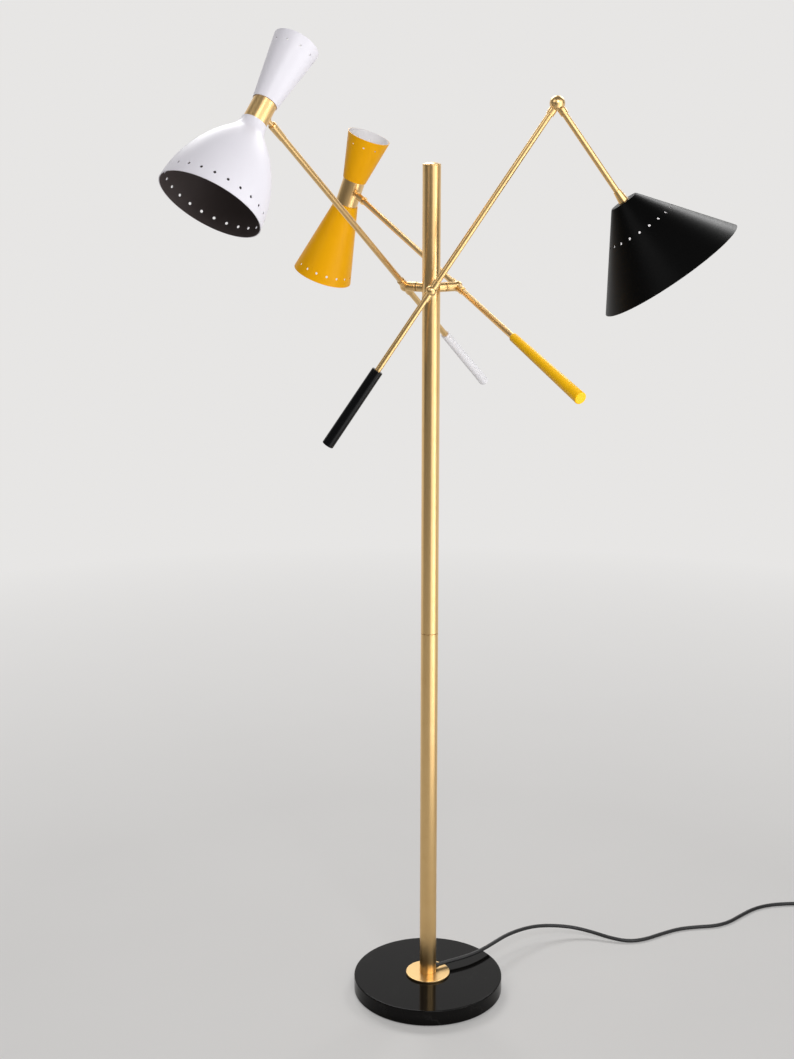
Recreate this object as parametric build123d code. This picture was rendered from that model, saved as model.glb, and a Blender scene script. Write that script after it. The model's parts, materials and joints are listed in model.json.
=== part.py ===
from build123d import *
import math
import os

# Floor lamp: a brass pole on a round stone base carries three tilting arms on a three-way hub.
# Two arms end in swivelling double shades, the third in an elbow with a perforated cone shade.
# Millimetres and degrees. The origin is the centre of the underside and +Z is up.
# The front arm's spoke points along -Y, the other two spokes lie 120 degrees round.

# Fits
SEAT_GAP = 0.05  # radial room between pieces that are fixed in each other
RUN_GAP = 0.05  # radial room of a pin that turns in its bore
FACE_GAP = 0.1  # room between flat faces that turn on each other
CUT_OVER = 1  # how far a cutting shape runs past the face it cuts

# Base
PAD_DIA = 250
PAD_THICK = 2
BASE_DIA = 270
BASE_THICK = 29.4
BASE_BEVEL = 1.6
RECESS_DIA = 60
RECESS_DEPTH = 14
WASHER_DIA = 50
WASHER_THICK = 3
NUT_FLATS = 17
NUT_THICK = 6
STUD_DIA = 10
STUD_BORE = 7
STUD_TAIL = 2
FLANGE_DIA = 80
FLANGE_THICK = 4
FLANGE_BEVEL = 1

# Pole
POLE_DIA = 30
POLE_WALL = 2
POLE_CHAMFER = 0.4
POLE_FOOT_CHAMFER = 0.1
POLE_TOP_Z = 1481
SEAM_Z = 686
SEAM_GAP = 0.8
PLUG_Z = 52
FOOT_PLUG_LENGTH = 24
FOOT_PLUG_FLAT = 6.5  # from the axis to the flat that lets the cord past
COUPLER_LENGTH = 60
COUPLER_WALL = 4
CAP_RIM = 2
CAP_RISE = 3
CAP_SPIGOT = 10
CAP_WALL = 3

# Hub
HUB_Z = 1283
HUB_CORE_LENGTH = 36
HUB_WIRE_BORE = 11
SPOKE_REACH = 50  # from the pole's axis to the arm's axis
BOSS_DIA = 16
BOSS_END = 26
FRICTION_DIA = 13.4
FRICTION_THICK = 1
PIN_DIA = 8
PIN_BORE = 4
PIN_START = 6.5
PIN_END = 38
PIN_ROOM = 0.5
PIN_GROOVE_Z = 32
PIN_GROOVE_WIDTH = 3
PIN_GROOVE_DEPTH = 1
TERMINAL_SIDE = 14
TERMINAL_HEIGHT = 24

# Arms
WHITE_SPOKE = 150
YELLOW_SPOKE = 30
BLACK_SPOKE = -90
WHITE_TILT = 35.1
YELLOW_TILT = 20.4
BLACK_TILT = 56.2
ROD_DIA = 10
ROD_WALL = 1
BALL_DIA = 18
COLLAR_DIA = 13
COLLAR_REACH = 19
COLLAR_CHAMFER = 0.8
ROD_SOCKET = 8  # from the arm's pivot to the end of each rod
WIRE_BORE = 5
GRUB_DIA = 4
GRUB_TIP_DIA = 2.4
GRUB_SUNK = 0.4
WHITE_GRIP_START = 166
WHITE_GRIP_END = 344
WHITE_GRIP_DIA = 15
WHITE_GRIP_END_DIA = 17
YELLOW_GRIP_START = 186
YELLOW_GRIP_END = 388
YELLOW_GRIP_DIA = 14.6
YELLOW_GRIP_END_DIA = 20
BLACK_GRIP_START = 157
BLACK_GRIP_END = 308
BLACK_GRIP_DIA = 19.6
BLACK_GRIP_END_DIA = 20.4
GRIP_DEPTH = 40
GRIP_ROUND = 1.2
GRIP_END_ROUND = 4

# Swivels at the ends of the white and the yellow arm
FERRULE_DIA = 12.8
FERRULE_FOOT_DIA = 11.4
WHITE_FERRULE_LENGTH = 34
YELLOW_FERRULE_LENGTH = 22
YELLOW_BEAD_DIA = 15
BEAD_LENGTH = 2.5
FERRULE_SOCKET = 12
FERRULE_END_WALL = 4
FERRULE_ROUND = 2.4
STUB_DIA = 6
STUB_NECK_DIA = 7.6
STUB_HEAD_DIA = 8.8
STUB_HEAD_THICK = 2.5
WHITE_NECK = 12
YELLOW_NECK = 8
RING_BOSS_DIA = 13
RING_BOSS_RISE = 3

# Double shades, measured along the shade's axis from the swivel's axis
SHADE_WALL = 1.2
RING_WALL = 1.6
SPIGOT_LENGTH = 4
SPIGOT_GAP = 0.15
DRILL_WALLS = 6  # length of a drill, in walls
WHITE_REACH = 492.5  # from the hub knuckle to the shade's axis
WHITE_ROLL = -7.1
WHITE_LEAN = -2.5  # how far the ring's boss is from square to the ring
WHITE_RING_DIA = 36
WHITE_RING_LOW = 19.8
WHITE_RING_HIGH = 15.1
BELL_LENGTH = 141.6
BELL_MOUTH_DIA = 159
BELL_SIDE_RADIUS = 185
BELL_TURN_IN = 8.5  # how far past the mouth the side would run parallel to the axis
BELL_HOLES = 24
BELL_HOLES_PHASE = -3.7
WHITE_CONE_LENGTH = 103.4
WHITE_CONE_DIA = 71
WHITE_CONE_HOLES = 10
YELLOW_REACH = 409
YELLOW_ROLL = 10.5
YELLOW_LEAN = 0
YELLOW_RING_DIA = 41
YELLOW_RING_LOW = 27.5
YELLOW_RING_HIGH = 19.5
YELLOW_LOWER_LENGTH = 145
YELLOW_LOWER_DIA = 111
YELLOW_LOWER_HOLES = 16
YELLOW_UPPER_LENGTH = 84
YELLOW_UPPER_DIA = 79
YELLOW_UPPER_HOLES = 10
BIG_HOLE_DIA = 4.2
SMALL_HOLE_DIA = 3.2
HOLE_FROM_RIM = 15
CROSS_DIA = 12
CROSS_OVERRUN = 8
NIPPLE_DIA = 10
HOLDER_DIA = 27
HOLDER_LENGTH = 38
HOLDER_BASE = 8
HOLDER_BORE = 14.4
HOLDER_CLEAR = 1  # from the cross to each lampholder

# Elbow and black head
ELBOW_REACH = 355
HEAD_ANGLE = -54.2  # the head rod's slope in the arm's plane
ELBOW_DIA = 24.6
ELBOW_NECK_DIA = 13.4
ELBOW_NECK_REACH = 21
ELBOW_SOCKET = 14
ELBOW_SWEEP_GAP = 0.3
SCREW_DIA = 5
SCREW_HEAD_DIA = 9
SCREW_HEAD_THICK = 2.6
SCREW_HEAD_SEAT = 8.4  # from the elbow's middle to the underside of the head
SCREW_TIP = 9.5
HEAD_TOP = 187  # from the elbow to the shade's flat top
HEAD_FERRULE_LENGTH = 20
HEAD_FERRULE_DIA = 12.4
HEAD_FERRULE_END_DIA = 17
BLACK_TOP_DIA = 50
BLACK_TOP_BEVEL = 2
BLACK_RIM_DIA = 250
BLACK_LENGTH = 135
BLACK_HOLES = 20
BLACK_HOLES_AT = 48  # from the shade's flat top
BLACK_HOLES_PHASE = 10
CLAMP_NUT_DIA = 20
CLAMP_NUT_THICK = 4
BLACK_HOLDER_DIA = 34
BLACK_HOLDER_LENGTH = 46

# Mains cord, plug and the tied coil
CORD_DIA = 7
CORD_EXIT_ANGLE = 32
CORD_EXIT_Z = 42
CORD_BEND_SHARE = 0.45  # how much of a straight run each bend may use
BUSH_DIA = 11
BUSH_TIP_DIA = 9.4
BUSH_INSIDE = 3
BUSH_PROUD = 6
CORD_ROUTE = [
    (8.5, 5.3, 42),
    (24, 15, 42),
    (41, 24.5, 42.6),
    (60, 34, 43.2),
    (83, 49, 43.4),
    (106, 72, 43),
    (126, 99, 41.6),
    (149, 131, 39.5),
    (178, 161, 36),
    (210, 186, 31),
    (247, 200, 25),
    (284, 206, 18.5),
    (320, 200, 12),
    (354, 186, 7),
    (388, 178, 4.2),
    (421, 187, 3.7),
    (457, 211, 3.6),
    (493, 232, 3.6),
    (532, 241, 3.6),
    (569, 246, 3.6),
    (599, 263, 3.6),
    (627, 292, 3.6),
    (658, 321, 3.6),
    (690, 337, 3.6),
    (721, 343, 3.7),
    (752, 344.3, 4.2),
    (780, 344, 5),
    (806, 344, 5),
]
COIL_RADIUS = 50
COIL_PITCH = 9
COIL_LAYER = 7.5
COIL_TURNS_IN = 2.5
COIL_TURNS_OUT = 2.25
COIL_TAIL = 32
TIE_WIDTH = 10
TIE_THICK = 1.2
TIE_ROOM = 0.3
TIE_ROUND = 2
PLUG_RELIEF_LENGTH = 26
PLUG_RELIEF_DIA = 9
PLUG_RELIEF_END_DIA = 15
PLUG_WIDTH = 35
PLUG_LENGTH = 38
PLUG_ROUND = 5
PLUG_PIN_DIA = 4.8
PLUG_PIN_LENGTH = 19
PLUG_PIN_SPACING = 19
PLUG_PIN_SUNK = 6

# Heights and radii that follow
base_top = PAD_THICK + BASE_THICK
flange_top = base_top + FLANGE_THICK
recess_top = PAD_THICK + RECESS_DEPTH
nut_bottom = recess_top - WASHER_THICK - NUT_THICK
pole_radius = POLE_DIA / 2
pole_bore = pole_radius - POLE_WALL
inner_fit = pole_bore - SEAT_GAP
knuckle_start = BOSS_END + FRICTION_THICK + FACE_GAP - SPOKE_REACH
rod_radius = ROD_DIA / 2
rod_seat = rod_radius + SEAT_GAP


def turned(*outline):
    """Spin a closed outline of (radius, height) corners about Z."""
    corners = [(radius, 0, height) for radius, height in outline]
    return revolve(make_face(Polyline(*corners, close=True)), Axis.Z)


def barrel(radius, low, high, bore=0):
    """A cylinder along Z between two heights, bored through if it has a bore radius."""
    if bore:
        return turned((bore, low), (radius, low), (radius, high), (bore, high))
    return turned((0, low), (radius, low), (radius, high), (0, high))


def along_x(solid):
    """Lay a solid that stands along Z down along X."""
    return Rot(0, 90, 0) * solid


def along_y(solid):
    """Lay a solid that stands along Z down along Y."""
    return Rot(-90, 0, 0) * solid


def spoke_direction(angle):
    return Vector(math.cos(math.radians(angle)), math.sin(math.radians(angle)), 0)


def spoke_plane(angle):
    """Z runs out along a spoke from the pole's axis."""
    return Plane(origin=(0, 0, HUB_Z), x_dir=(0, 0, 1), z_dir=spoke_direction(angle))


def arm_plane(angle, tilt):
    """The origin is the arm's pivot, X runs out along the spoke and Z up along the arm."""
    spoke = spoke_direction(angle)
    level = spoke_direction(angle + 90)
    slope = math.radians(tilt)
    along = level * math.cos(slope) + Vector(0, 0, math.sin(slope))
    return Plane(origin=spoke * SPOKE_REACH + Vector(0, 0, HUB_Z), x_dir=spoke, z_dir=along)


def shade_plane(arm, reach, roll, lean, down=False):
    """The origin is where the shade's axis crosses the arm's, X points back towards the hub."""
    lift = Vector(0, 0, 1) - arm.z_dir * arm.z_dir.Z
    upright = lift.normalized()
    across = arm.z_dir.cross(upright)
    square = upright * math.cos(math.radians(roll)) + across * math.sin(math.radians(roll))
    tip = math.radians(lean)
    axis = square * math.cos(tip) + arm.z_dir * math.sin(tip)
    back = square * math.sin(tip) - arm.z_dir * math.cos(tip)
    origin = arm.origin + arm.z_dir * reach
    return Plane(origin=origin, x_dir=back, z_dir=axis * -1 if down else axis)


def write(name, *solids):
    """Write one node, as one solid or as a group of separate ones."""
    flat = [solid for shape in solids for solid in shape.solids()]
    export_step(flat[0] if len(flat) == 1 else Compound(children=flat), f"parts/{name}.step")


# Base

def base_disc():
    edge = BASE_DIA / 2
    hole = STUD_DIA / 2 + SEAT_GAP
    return turned(
        (hole, recess_top),
        (RECESS_DIA / 2, recess_top),
        (RECESS_DIA / 2, PAD_THICK),
        (edge - BASE_BEVEL, PAD_THICK),
        (edge, PAD_THICK + BASE_BEVEL),
        (edge, base_top - BASE_BEVEL),
        (edge - BASE_BEVEL, base_top),
        (hole, base_top),
    )


def base_flange():
    edge = FLANGE_DIA / 2
    hole = STUD_DIA / 2 + SEAT_GAP
    return turned(
        (hole, base_top),
        (edge, base_top),
        (edge, flange_top - FLANGE_BEVEL),
        (edge - FLANGE_BEVEL, flange_top),
        (hole, flange_top),
    )


def base_nut():
    blank = extrude(RegularPolygon(NUT_FLATS / 2, 6, major_radius=False), NUT_THICK)
    bore = barrel(STUD_DIA / 2 + SEAT_GAP, -CUT_OVER, NUT_THICK + CUT_OVER)
    return Pos(0, 0, nut_bottom) * (blank - bore)


# Pole

def cord_hole(radius, start, end):
    """A solid along the cord's way out of the pole, from the pole's axis outwards."""
    return exit_plane() * barrel(radius, start, end)


def exit_plane():
    return Plane(
        origin=(0, 0, CORD_EXIT_Z), x_dir=(0, 0, 1), z_dir=spoke_direction(CORD_EXIT_ANGLE)
    )


def foot_plug():
    body = barrel(inner_fit, PLUG_Z, PLUG_Z + FOOT_PLUG_LENGTH, STUD_DIA / 2 + SEAT_GAP)
    slab = Box(POLE_DIA, POLE_DIA, 3 * FOOT_PLUG_LENGTH, align=(Align.MIN, Align.CENTER, Align.CENTER))
    return body - Pos(0, 0, PLUG_Z) * Rot(0, 0, CORD_EXIT_ANGLE) * Pos(FOOT_PLUG_FLAT, 0, 0) * slab


def pole_tube(low, high, low_chamfer, high_chamfer):
    return turned(
        (pole_bore, low),
        (pole_radius - low_chamfer, low),
        (pole_radius, low + low_chamfer),
        (pole_radius, high - high_chamfer),
        (pole_radius - high_chamfer, high),
        (pole_bore, high),
    )


def lower_pole():
    tube = pole_tube(flange_top, SEAM_Z - SEAM_GAP / 2, POLE_FOOT_CHAMFER, POLE_CHAMFER)
    return tube - cord_hole(BUSH_DIA / 2 + SEAT_GAP, 0, POLE_DIA)


def upper_pole():
    tube = pole_tube(SEAM_Z + SEAM_GAP / 2, POLE_TOP_Z, POLE_CHAMFER, POLE_CHAMFER)
    pin_way = barrel(PIN_DIA / 2 + SEAT_GAP, 0, POLE_DIA)
    return tube - [spoke_plane(angle) * pin_way for angle in SPOKES]


def pole_cap():
    """A shallow dome with a spigot that pushes into the tube."""
    low = POLE_TOP_Z
    high = low + CAP_RIM + CAP_RISE
    top = (0, 0, high)
    rim = (pole_radius, 0, low + CAP_RIM)
    dome_radius = (pole_radius**2 + CAP_RISE**2) / (2 * CAP_RISE)
    middle_x = pole_radius / 2
    middle = (middle_x, 0, high - dome_radius + math.sqrt(dome_radius**2 - middle_x**2))
    corners = [
        rim,
        (pole_radius, 0, low),
        (inner_fit, 0, low),
        (inner_fit, 0, low - CAP_SPIGOT),
        (inner_fit - CAP_WALL, 0, low - CAP_SPIGOT),
        (inner_fit - CAP_WALL, 0, low),
        (0, 0, low),
        top,
    ]
    return revolve(make_face(Polyline(*corners) + ThreePointArc(top, middle, rim)), Axis.Z)


# Hub

SPOKES = (WHITE_SPOKE, YELLOW_SPOKE, BLACK_SPOKE)


def hub_core():
    half = HUB_CORE_LENGTH / 2
    core = barrel(inner_fit, HUB_Z - half, HUB_Z + half, HUB_WIRE_BORE / 2)
    return core - [spoke_plane(angle) * barrel(PIN_DIA / 2 + SEAT_GAP, 0, POLE_DIA) for angle in SPOKES]


def hub_boss(angle):
    blank = spoke_plane(angle) * barrel(BOSS_DIA / 2, 0, BOSS_END)
    saddle = barrel(pole_radius + SEAT_GAP, HUB_Z - BOSS_DIA, HUB_Z + BOSS_DIA)
    return blank - saddle - spoke_plane(angle) * barrel(PIN_DIA / 2 + SEAT_GAP, 0, BOSS_END + CUT_OVER)


def pivot_pin(angle):
    """A hollow pin with a groove that the arm's grub screw runs in."""
    outer = PIN_DIA / 2
    floor = outer - PIN_GROOVE_DEPTH
    low = PIN_GROOVE_Z - PIN_GROOVE_WIDTH / 2
    high = PIN_GROOVE_Z + PIN_GROOVE_WIDTH / 2
    return spoke_plane(angle) * turned(
        (PIN_BORE / 2, PIN_START),
        (outer, PIN_START),
        (outer, low),
        (floor, low),
        (floor, high),
        (outer, high),
        (outer, PIN_END),
        (PIN_BORE / 2, PIN_END),
    )


def friction_washer(angle):
    high = BOSS_END + FRICTION_THICK
    return spoke_plane(angle) * barrel(FRICTION_DIA / 2, BOSS_END, high, PIN_DIA / 2 + SEAT_GAP)


def terminal_block():
    low = HUB_Z + HUB_CORE_LENGTH / 2
    block = Box(
        TERMINAL_SIDE, TERMINAL_SIDE, TERMINAL_HEIGHT, align=(Align.CENTER, Align.CENTER, Align.MIN)
    )
    return Pos(0, 0, low) * block


# Arms, modelled along Z with the pivot at the origin and the hub at -X

def knuckle():
    """A ball with a barrel towards the hub and a collar for each rod, bored for pin, rods and wire."""
    edge = COLLAR_DIA / 2
    collars = turned(
        (0, -COLLAR_REACH),
        (edge - COLLAR_CHAMFER, -COLLAR_REACH),
        (edge, COLLAR_CHAMFER - COLLAR_REACH),
        (edge, COLLAR_REACH - COLLAR_CHAMFER),
        (edge - COLLAR_CHAMFER, COLLAR_REACH),
        (0, COLLAR_REACH),
    )
    body = Sphere(BALL_DIA / 2) + along_x(barrel(BOSS_DIA / 2, knuckle_start, 0)) + collars
    pin_end = PIN_END + PIN_ROOM - SPOKE_REACH
    pin_bore = along_x(barrel(PIN_DIA / 2 + RUN_GAP, knuckle_start - CUT_OVER, pin_end))
    socket = barrel(rod_seat, ROD_SOCKET, COLLAR_REACH + CUT_OVER)
    wire_ways = [barrel(WIRE_BORE / 2, -COLLAR_REACH, COLLAR_REACH)]
    wire_ways.append(along_x(barrel(WIRE_BORE / 2, pin_end - CUT_OVER, 0)))
    return body - [pin_bore, socket, Rot(180, 0, 0) * socket, grub_hole(), *wire_ways]


def grub_hole():
    hole = barrel(GRUB_DIA / 2 + SEAT_GAP, 0, BOSS_DIA)
    return Pos(PIN_GROOVE_Z - SPOKE_REACH, 0, 0) * along_y(hole)


def grub_screw():
    """Its tip runs in the pin's groove and keeps the knuckle on the pin."""
    tip_end = PIN_DIA / 2 - PIN_GROOVE_DEPTH + FACE_GAP
    shoulder = PIN_DIA / 2 + 2 * RUN_GAP
    head = BOSS_DIA / 2 - GRUB_SUNK
    outline = turned(
        (0, tip_end),
        (GRUB_TIP_DIA / 2, tip_end),
        (GRUB_TIP_DIA / 2, shoulder),
        (GRUB_DIA / 2, shoulder),
        (GRUB_DIA / 2, head),
        (0, head),
    )
    return Pos(PIN_GROOVE_Z - SPOKE_REACH, 0, 0) * along_y(outline)


def rod(low, high):
    return barrel(rod_radius, low, high, rod_radius - ROD_WALL)


def grip(start, end, start_dia, end_dia):
    """A tapered handle with rounded ends, bored for the rod, hanging below the pivot."""
    body = turned((0, -start), (start_dia / 2, -start), (end_dia / 2, -end), (0, -end))
    rims = body.edges().filter_by(GeomType.CIRCLE).sort_by(Axis.Z)
    body = fillet(rims[-1], GRIP_ROUND)
    rims = body.edges().filter_by(GeomType.CIRCLE).sort_by(Axis.Z)
    body = fillet(rims[0], GRIP_END_ROUND)
    return body - barrel(rod_seat, -start - GRIP_DEPTH, 0)


def ferrule(low, length, bead_dia=0):
    """End sleeve of an upper rod: a socket for the rod and a cavity for the stub's head."""
    high = low + length
    outer = FERRULE_DIA / 2
    body = turned((0, low), (FERRULE_FOOT_DIA / 2, low), (outer, high), (0, high))
    rims = body.edges().filter_by(GeomType.CIRCLE).sort_by(Axis.Z)
    body = fillet(rims[-1], FERRULE_ROUND)
    if bead_dia:
        body += barrel(bead_dia / 2, low, low + BEAD_LENGTH)
    socket = barrel(rod_seat, low - CUT_OVER, low + FERRULE_SOCKET)
    cavity = barrel(STUB_HEAD_DIA / 2 + RUN_GAP, low, high - FERRULE_END_WALL)
    return body - socket - cavity - barrel(STUB_DIA / 2 + RUN_GAP, low, high + CUT_OVER)


def swivel_stub(ferrule_end, seat, shade_axis):
    """Headed pin that turns in the ferrule, with a neck that seats on the ring's boss."""
    head_high = ferrule_end - FERRULE_END_WALL - FACE_GAP
    head_low = head_high - STUB_HEAD_THICK
    tip = shade_axis - CROSS_DIA / 2
    neck = STUB_NECK_DIA / 2
    shaft = STUB_DIA / 2
    return turned(
        (0, head_low),
        (STUB_HEAD_DIA / 2, head_low),
        (STUB_HEAD_DIA / 2, head_high),
        (shaft, head_high),
        (shaft, ferrule_end + FACE_GAP),
        (neck, ferrule_end + FACE_GAP),
        (neck, seat),
        (shaft, seat),
        (shaft, tip),
        (0, tip),
    )


# Double shades, modelled along Z with the hub on the +X side

def toward_hub(solid, lean):
    """Lay a solid that stands along Z down along the swivel's axis."""
    return Rot(0, 90 + lean, 0) * solid


def ring(radius, low, high, lean):
    """Brass tube with a shade pushed over each end and a flat boss for the stub."""
    inner = radius - RING_WALL
    tube = barrel(radius, -low - SPIGOT_LENGTH, high + SPIGOT_LENGTH, inner)
    boss = toward_hub(barrel(RING_BOSS_DIA / 2, 0, radius + RING_BOSS_RISE), lean)
    boss -= barrel(inner, -RING_BOSS_DIA, RING_BOSS_DIA)
    return tube + boss - toward_hub(barrel(STUB_DIA / 2 + SEAT_GAP, 0, 2 * radius), lean)


def holder_cross(radius, lean):
    """Cross nipple that the stub screws into and both lampholders screw onto."""
    sleeve = toward_hub(barrel(CROSS_DIA / 2, -CROSS_OVERRUN, radius), lean)
    sleeve &= barrel(radius - RING_WALL - SEAT_GAP, -CROSS_DIA, CROSS_DIA)
    end = CROSS_DIA / 2 + HOLDER_CLEAR + HOLDER_BASE
    body = sleeve + barrel(NIPPLE_DIA / 2, -end, end)
    stub_way = toward_hub(barrel(STUB_DIA / 2 + SEAT_GAP, CROSS_DIA / 2, radius), lean)
    return body - stub_way - barrel(WIRE_BORE / 2, -end - CUT_OVER, end + CUT_OVER)


def lampholder(start, dia, length):
    """A cup with a threaded neck for its nipple and a socket for the bulb's cap."""
    base = start + HOLDER_BASE
    return turned(
        (NIPPLE_DIA / 2 + SEAT_GAP, start),
        (dia / 2, start),
        (dia / 2, start + length),
        (HOLDER_BORE / 2, start + length),
        (HOLDER_BORE / 2, base),
        (NIPPLE_DIA / 2 + SEAT_GAP, base),
    )


def punched(shell, count, dia, radius, height, lean, phase):
    """Cut a ring of round holes square to a wall that leans out by an angle."""
    drill = Pos(radius, 0, height) * Rot(0, 90 + lean, 0) * Cylinder(dia / 2, DRILL_WALLS * SHADE_WALL)
    step = 360 / count
    return shell - [Rot(0, 0, phase + step * place) * drill for place in range(count)]


def spun_cone(neck, mouth, length, holes, hole_dia, phase=0):
    """Straight cone open at both ends, with its neck at the origin and its mouth up Z."""
    lean = math.degrees(math.atan2(mouth - neck, length))
    wall = SHADE_WALL / math.cos(math.radians(lean))
    shell = turned((neck - wall, 0), (neck, 0), (mouth, length), (mouth - wall, length))
    height = length - HOLE_FROM_RIM
    radius = neck + (mouth - neck) * height / length
    return punched(shell, holes, hole_dia, radius, height, lean, phase)


def bell_outline(neck, inset):
    """Arcs of the bell's side: a hollow flare at the neck, then a bulge towards the mouth.

    The inset moves the outline inwards by the wall, so that both faces keep the same centres."""
    bulge_x = BELL_MOUTH_DIA / 2 - math.sqrt(BELL_SIDE_RADIUS**2 - BELL_TURN_IN**2)
    bulge_z = BELL_LENGTH + BELL_TURN_IN
    reach = neck - bulge_x
    flare = (BELL_SIDE_RADIUS**2 - reach**2 - bulge_z**2) / (2 * (reach - BELL_SIDE_RADIUS))
    centre_gap = BELL_SIDE_RADIUS + flare
    toward_x = (neck + flare - bulge_x) / centre_gap
    toward_z = -bulge_z / centre_gap
    side = BELL_SIDE_RADIUS - inset
    throat = flare + inset

    def on_bulge(height):
        return bulge_x + math.sqrt(side**2 - (bulge_z - height) ** 2)

    meet = (bulge_x + side * toward_x, bulge_z + side * toward_z)
    start = (neck - inset, 0)
    swing = math.atan2(meet[1], neck + flare - meet[0]) / 2
    flare_middle = (neck + flare - throat * math.cos(swing), throat * math.sin(swing))
    middle_z = (meet[1] + BELL_LENGTH) / 2
    end = (on_bulge(BELL_LENGTH), BELL_LENGTH)
    points = [start, flare_middle, meet, (on_bulge(middle_z), middle_z), end]
    return [(radius, 0, height) for radius, height in points]


def bell(neck):
    """Spun bell with its neck at the origin and its mouth up Z."""
    outside = bell_outline(neck, 0)
    inside = bell_outline(neck, SHADE_WALL)
    edges = []
    for start, flare_middle, meet, bulge_middle, end in (outside, inside):
        edges.append(ThreePointArc(start, flare_middle, meet))
        edges.append(ThreePointArc(meet, bulge_middle, end))
    edges.append(Line(outside[0], inside[0]))
    edges.append(Line(outside[-1], inside[-1]))
    shell = revolve(make_face(edges), Axis.Z)
    height = BELL_LENGTH - HOLE_FROM_RIM
    lean = math.degrees(math.asin((BELL_TURN_IN + HOLE_FROM_RIM) / BELL_SIDE_RADIUS))
    rim_rise = math.sqrt(BELL_SIDE_RADIUS**2 - BELL_TURN_IN**2)
    radius = BELL_MOUTH_DIA / 2 - rim_rise + BELL_SIDE_RADIUS * math.cos(math.radians(lean))
    return punched(shell, BELL_HOLES, BIG_HOLE_DIA, radius, height, lean, BELL_HOLES_PHASE)


# Elbow and black head, with the elbow's centre at the origin and its axis along X

def elbow_cheek():
    """The half of the ball on the -X side, with a round neck for its rod."""
    radius = ELBOW_DIA / 2
    half = Box(ELBOW_DIA, 2 * ELBOW_DIA, 2 * ELBOW_DIA, align=(Align.MAX, Align.CENTER, Align.CENTER))
    own_half = Pos(-FACE_GAP, 0, 0) * half
    neck = barrel(ELBOW_NECK_DIA / 2, 0, ELBOW_NECK_REACH)
    outer_neck = neck - Sphere(radius + ELBOW_SWEEP_GAP)
    body = (Sphere(radius) & own_half) + (neck & own_half) + outer_neck
    return body - barrel(rod_seat, ELBOW_SOCKET, ELBOW_NECK_REACH + CUT_OVER)


def elbow_screw():
    """Screw along X: its head lies in the rear cheek and its tip holds in the front one."""
    head_top = -SCREW_HEAD_SEAT - SCREW_HEAD_THICK
    return along_x(
        turned(
            (0, head_top),
            (SCREW_HEAD_DIA / 2, head_top),
            (SCREW_HEAD_DIA / 2, -SCREW_HEAD_SEAT),
            (SCREW_DIA / 2, -SCREW_HEAD_SEAT),
            (SCREW_DIA / 2, SCREW_TIP),
            (0, SCREW_TIP),
        )
    )


def rear_cheek():
    """Bored so that the screw turns in it."""
    shaft_way = along_x(barrel(SCREW_DIA / 2 + RUN_GAP, -ELBOW_DIA, 0))
    head_way = along_x(barrel(SCREW_HEAD_DIA / 2 + RUN_GAP, -ELBOW_DIA, FACE_GAP - SCREW_HEAD_SEAT))
    return elbow_cheek() - shaft_way - head_way


def front_cheek():
    """Turned round to the +X side, with a blind hole that the screw holds in."""
    blind_hole = along_x(barrel(SCREW_DIA / 2 + SEAT_GAP, -SCREW_TIP - SEAT_GAP, 0))
    return Rot(0, 0, 180) * (elbow_cheek() - blind_hole)


def head_ferrule():
    low = HEAD_TOP - HEAD_FERRULE_LENGTH
    return turned(
        (rod_seat, low),
        (HEAD_FERRULE_DIA / 2, low),
        (HEAD_FERRULE_END_DIA / 2, HEAD_TOP),
        (rod_seat, HEAD_TOP),
    )


def black_shade():
    """Spun cone with a flat top, a small bevel round it and a ring of holes."""
    top = BLACK_TOP_DIA / 2
    rim = BLACK_RIM_DIA / 2
    lean = math.degrees(math.atan2(rim - top, BLACK_LENGTH - BLACK_TOP_BEVEL))
    wall = SHADE_WALL / math.cos(math.radians(lean))
    slope = (rim - top) / (BLACK_LENGTH - BLACK_TOP_BEVEL)
    inner_top = top - wall + slope * (SHADE_WALL - BLACK_TOP_BEVEL)
    shell = turned(
        (rod_seat, 0),
        (top - BLACK_TOP_BEVEL, 0),
        (top, BLACK_TOP_BEVEL),
        (rim, BLACK_LENGTH),
        (rim - wall, BLACK_LENGTH),
        (inner_top, SHADE_WALL),
        (rod_seat, SHADE_WALL),
    )
    radius = top + slope * (BLACK_HOLES_AT - BLACK_TOP_BEVEL)
    shell = punched(shell, BLACK_HOLES, BIG_HOLE_DIA, radius, BLACK_HOLES_AT, lean, BLACK_HOLES_PHASE)
    return Pos(0, 0, HEAD_TOP) * shell


# Mains cord

def cord_tube():
    """Straight runs joined by arcs as large as the runs allow, swept by the cord's section."""
    points = [Vector(*place) for place in CORD_ROUTE]
    radii = []
    for before, corner, after in zip(points, points[1:], points[2:]):
        turn = math.radians((corner - before).get_angle(after - corner))
        shorter = min((corner - before).length, (after - corner).length)
        radii.append(CORD_BEND_SHARE * shorter / math.tan(turn / 2))
    path = FilletPolyline(*points, radius=radii)
    start = Plane(origin=path @ 0, z_dir=path % 0)
    tube = sweep(start * Circle(CORD_DIA / 2), path=path)
    section = math.pi * CORD_DIA**2 / 4
    print("cord radii", [round(radius) for radius in radii])
    print("cord length", round(path.length), "volume share", round(tube.volume / section / path.length, 4))
    return tube


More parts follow.
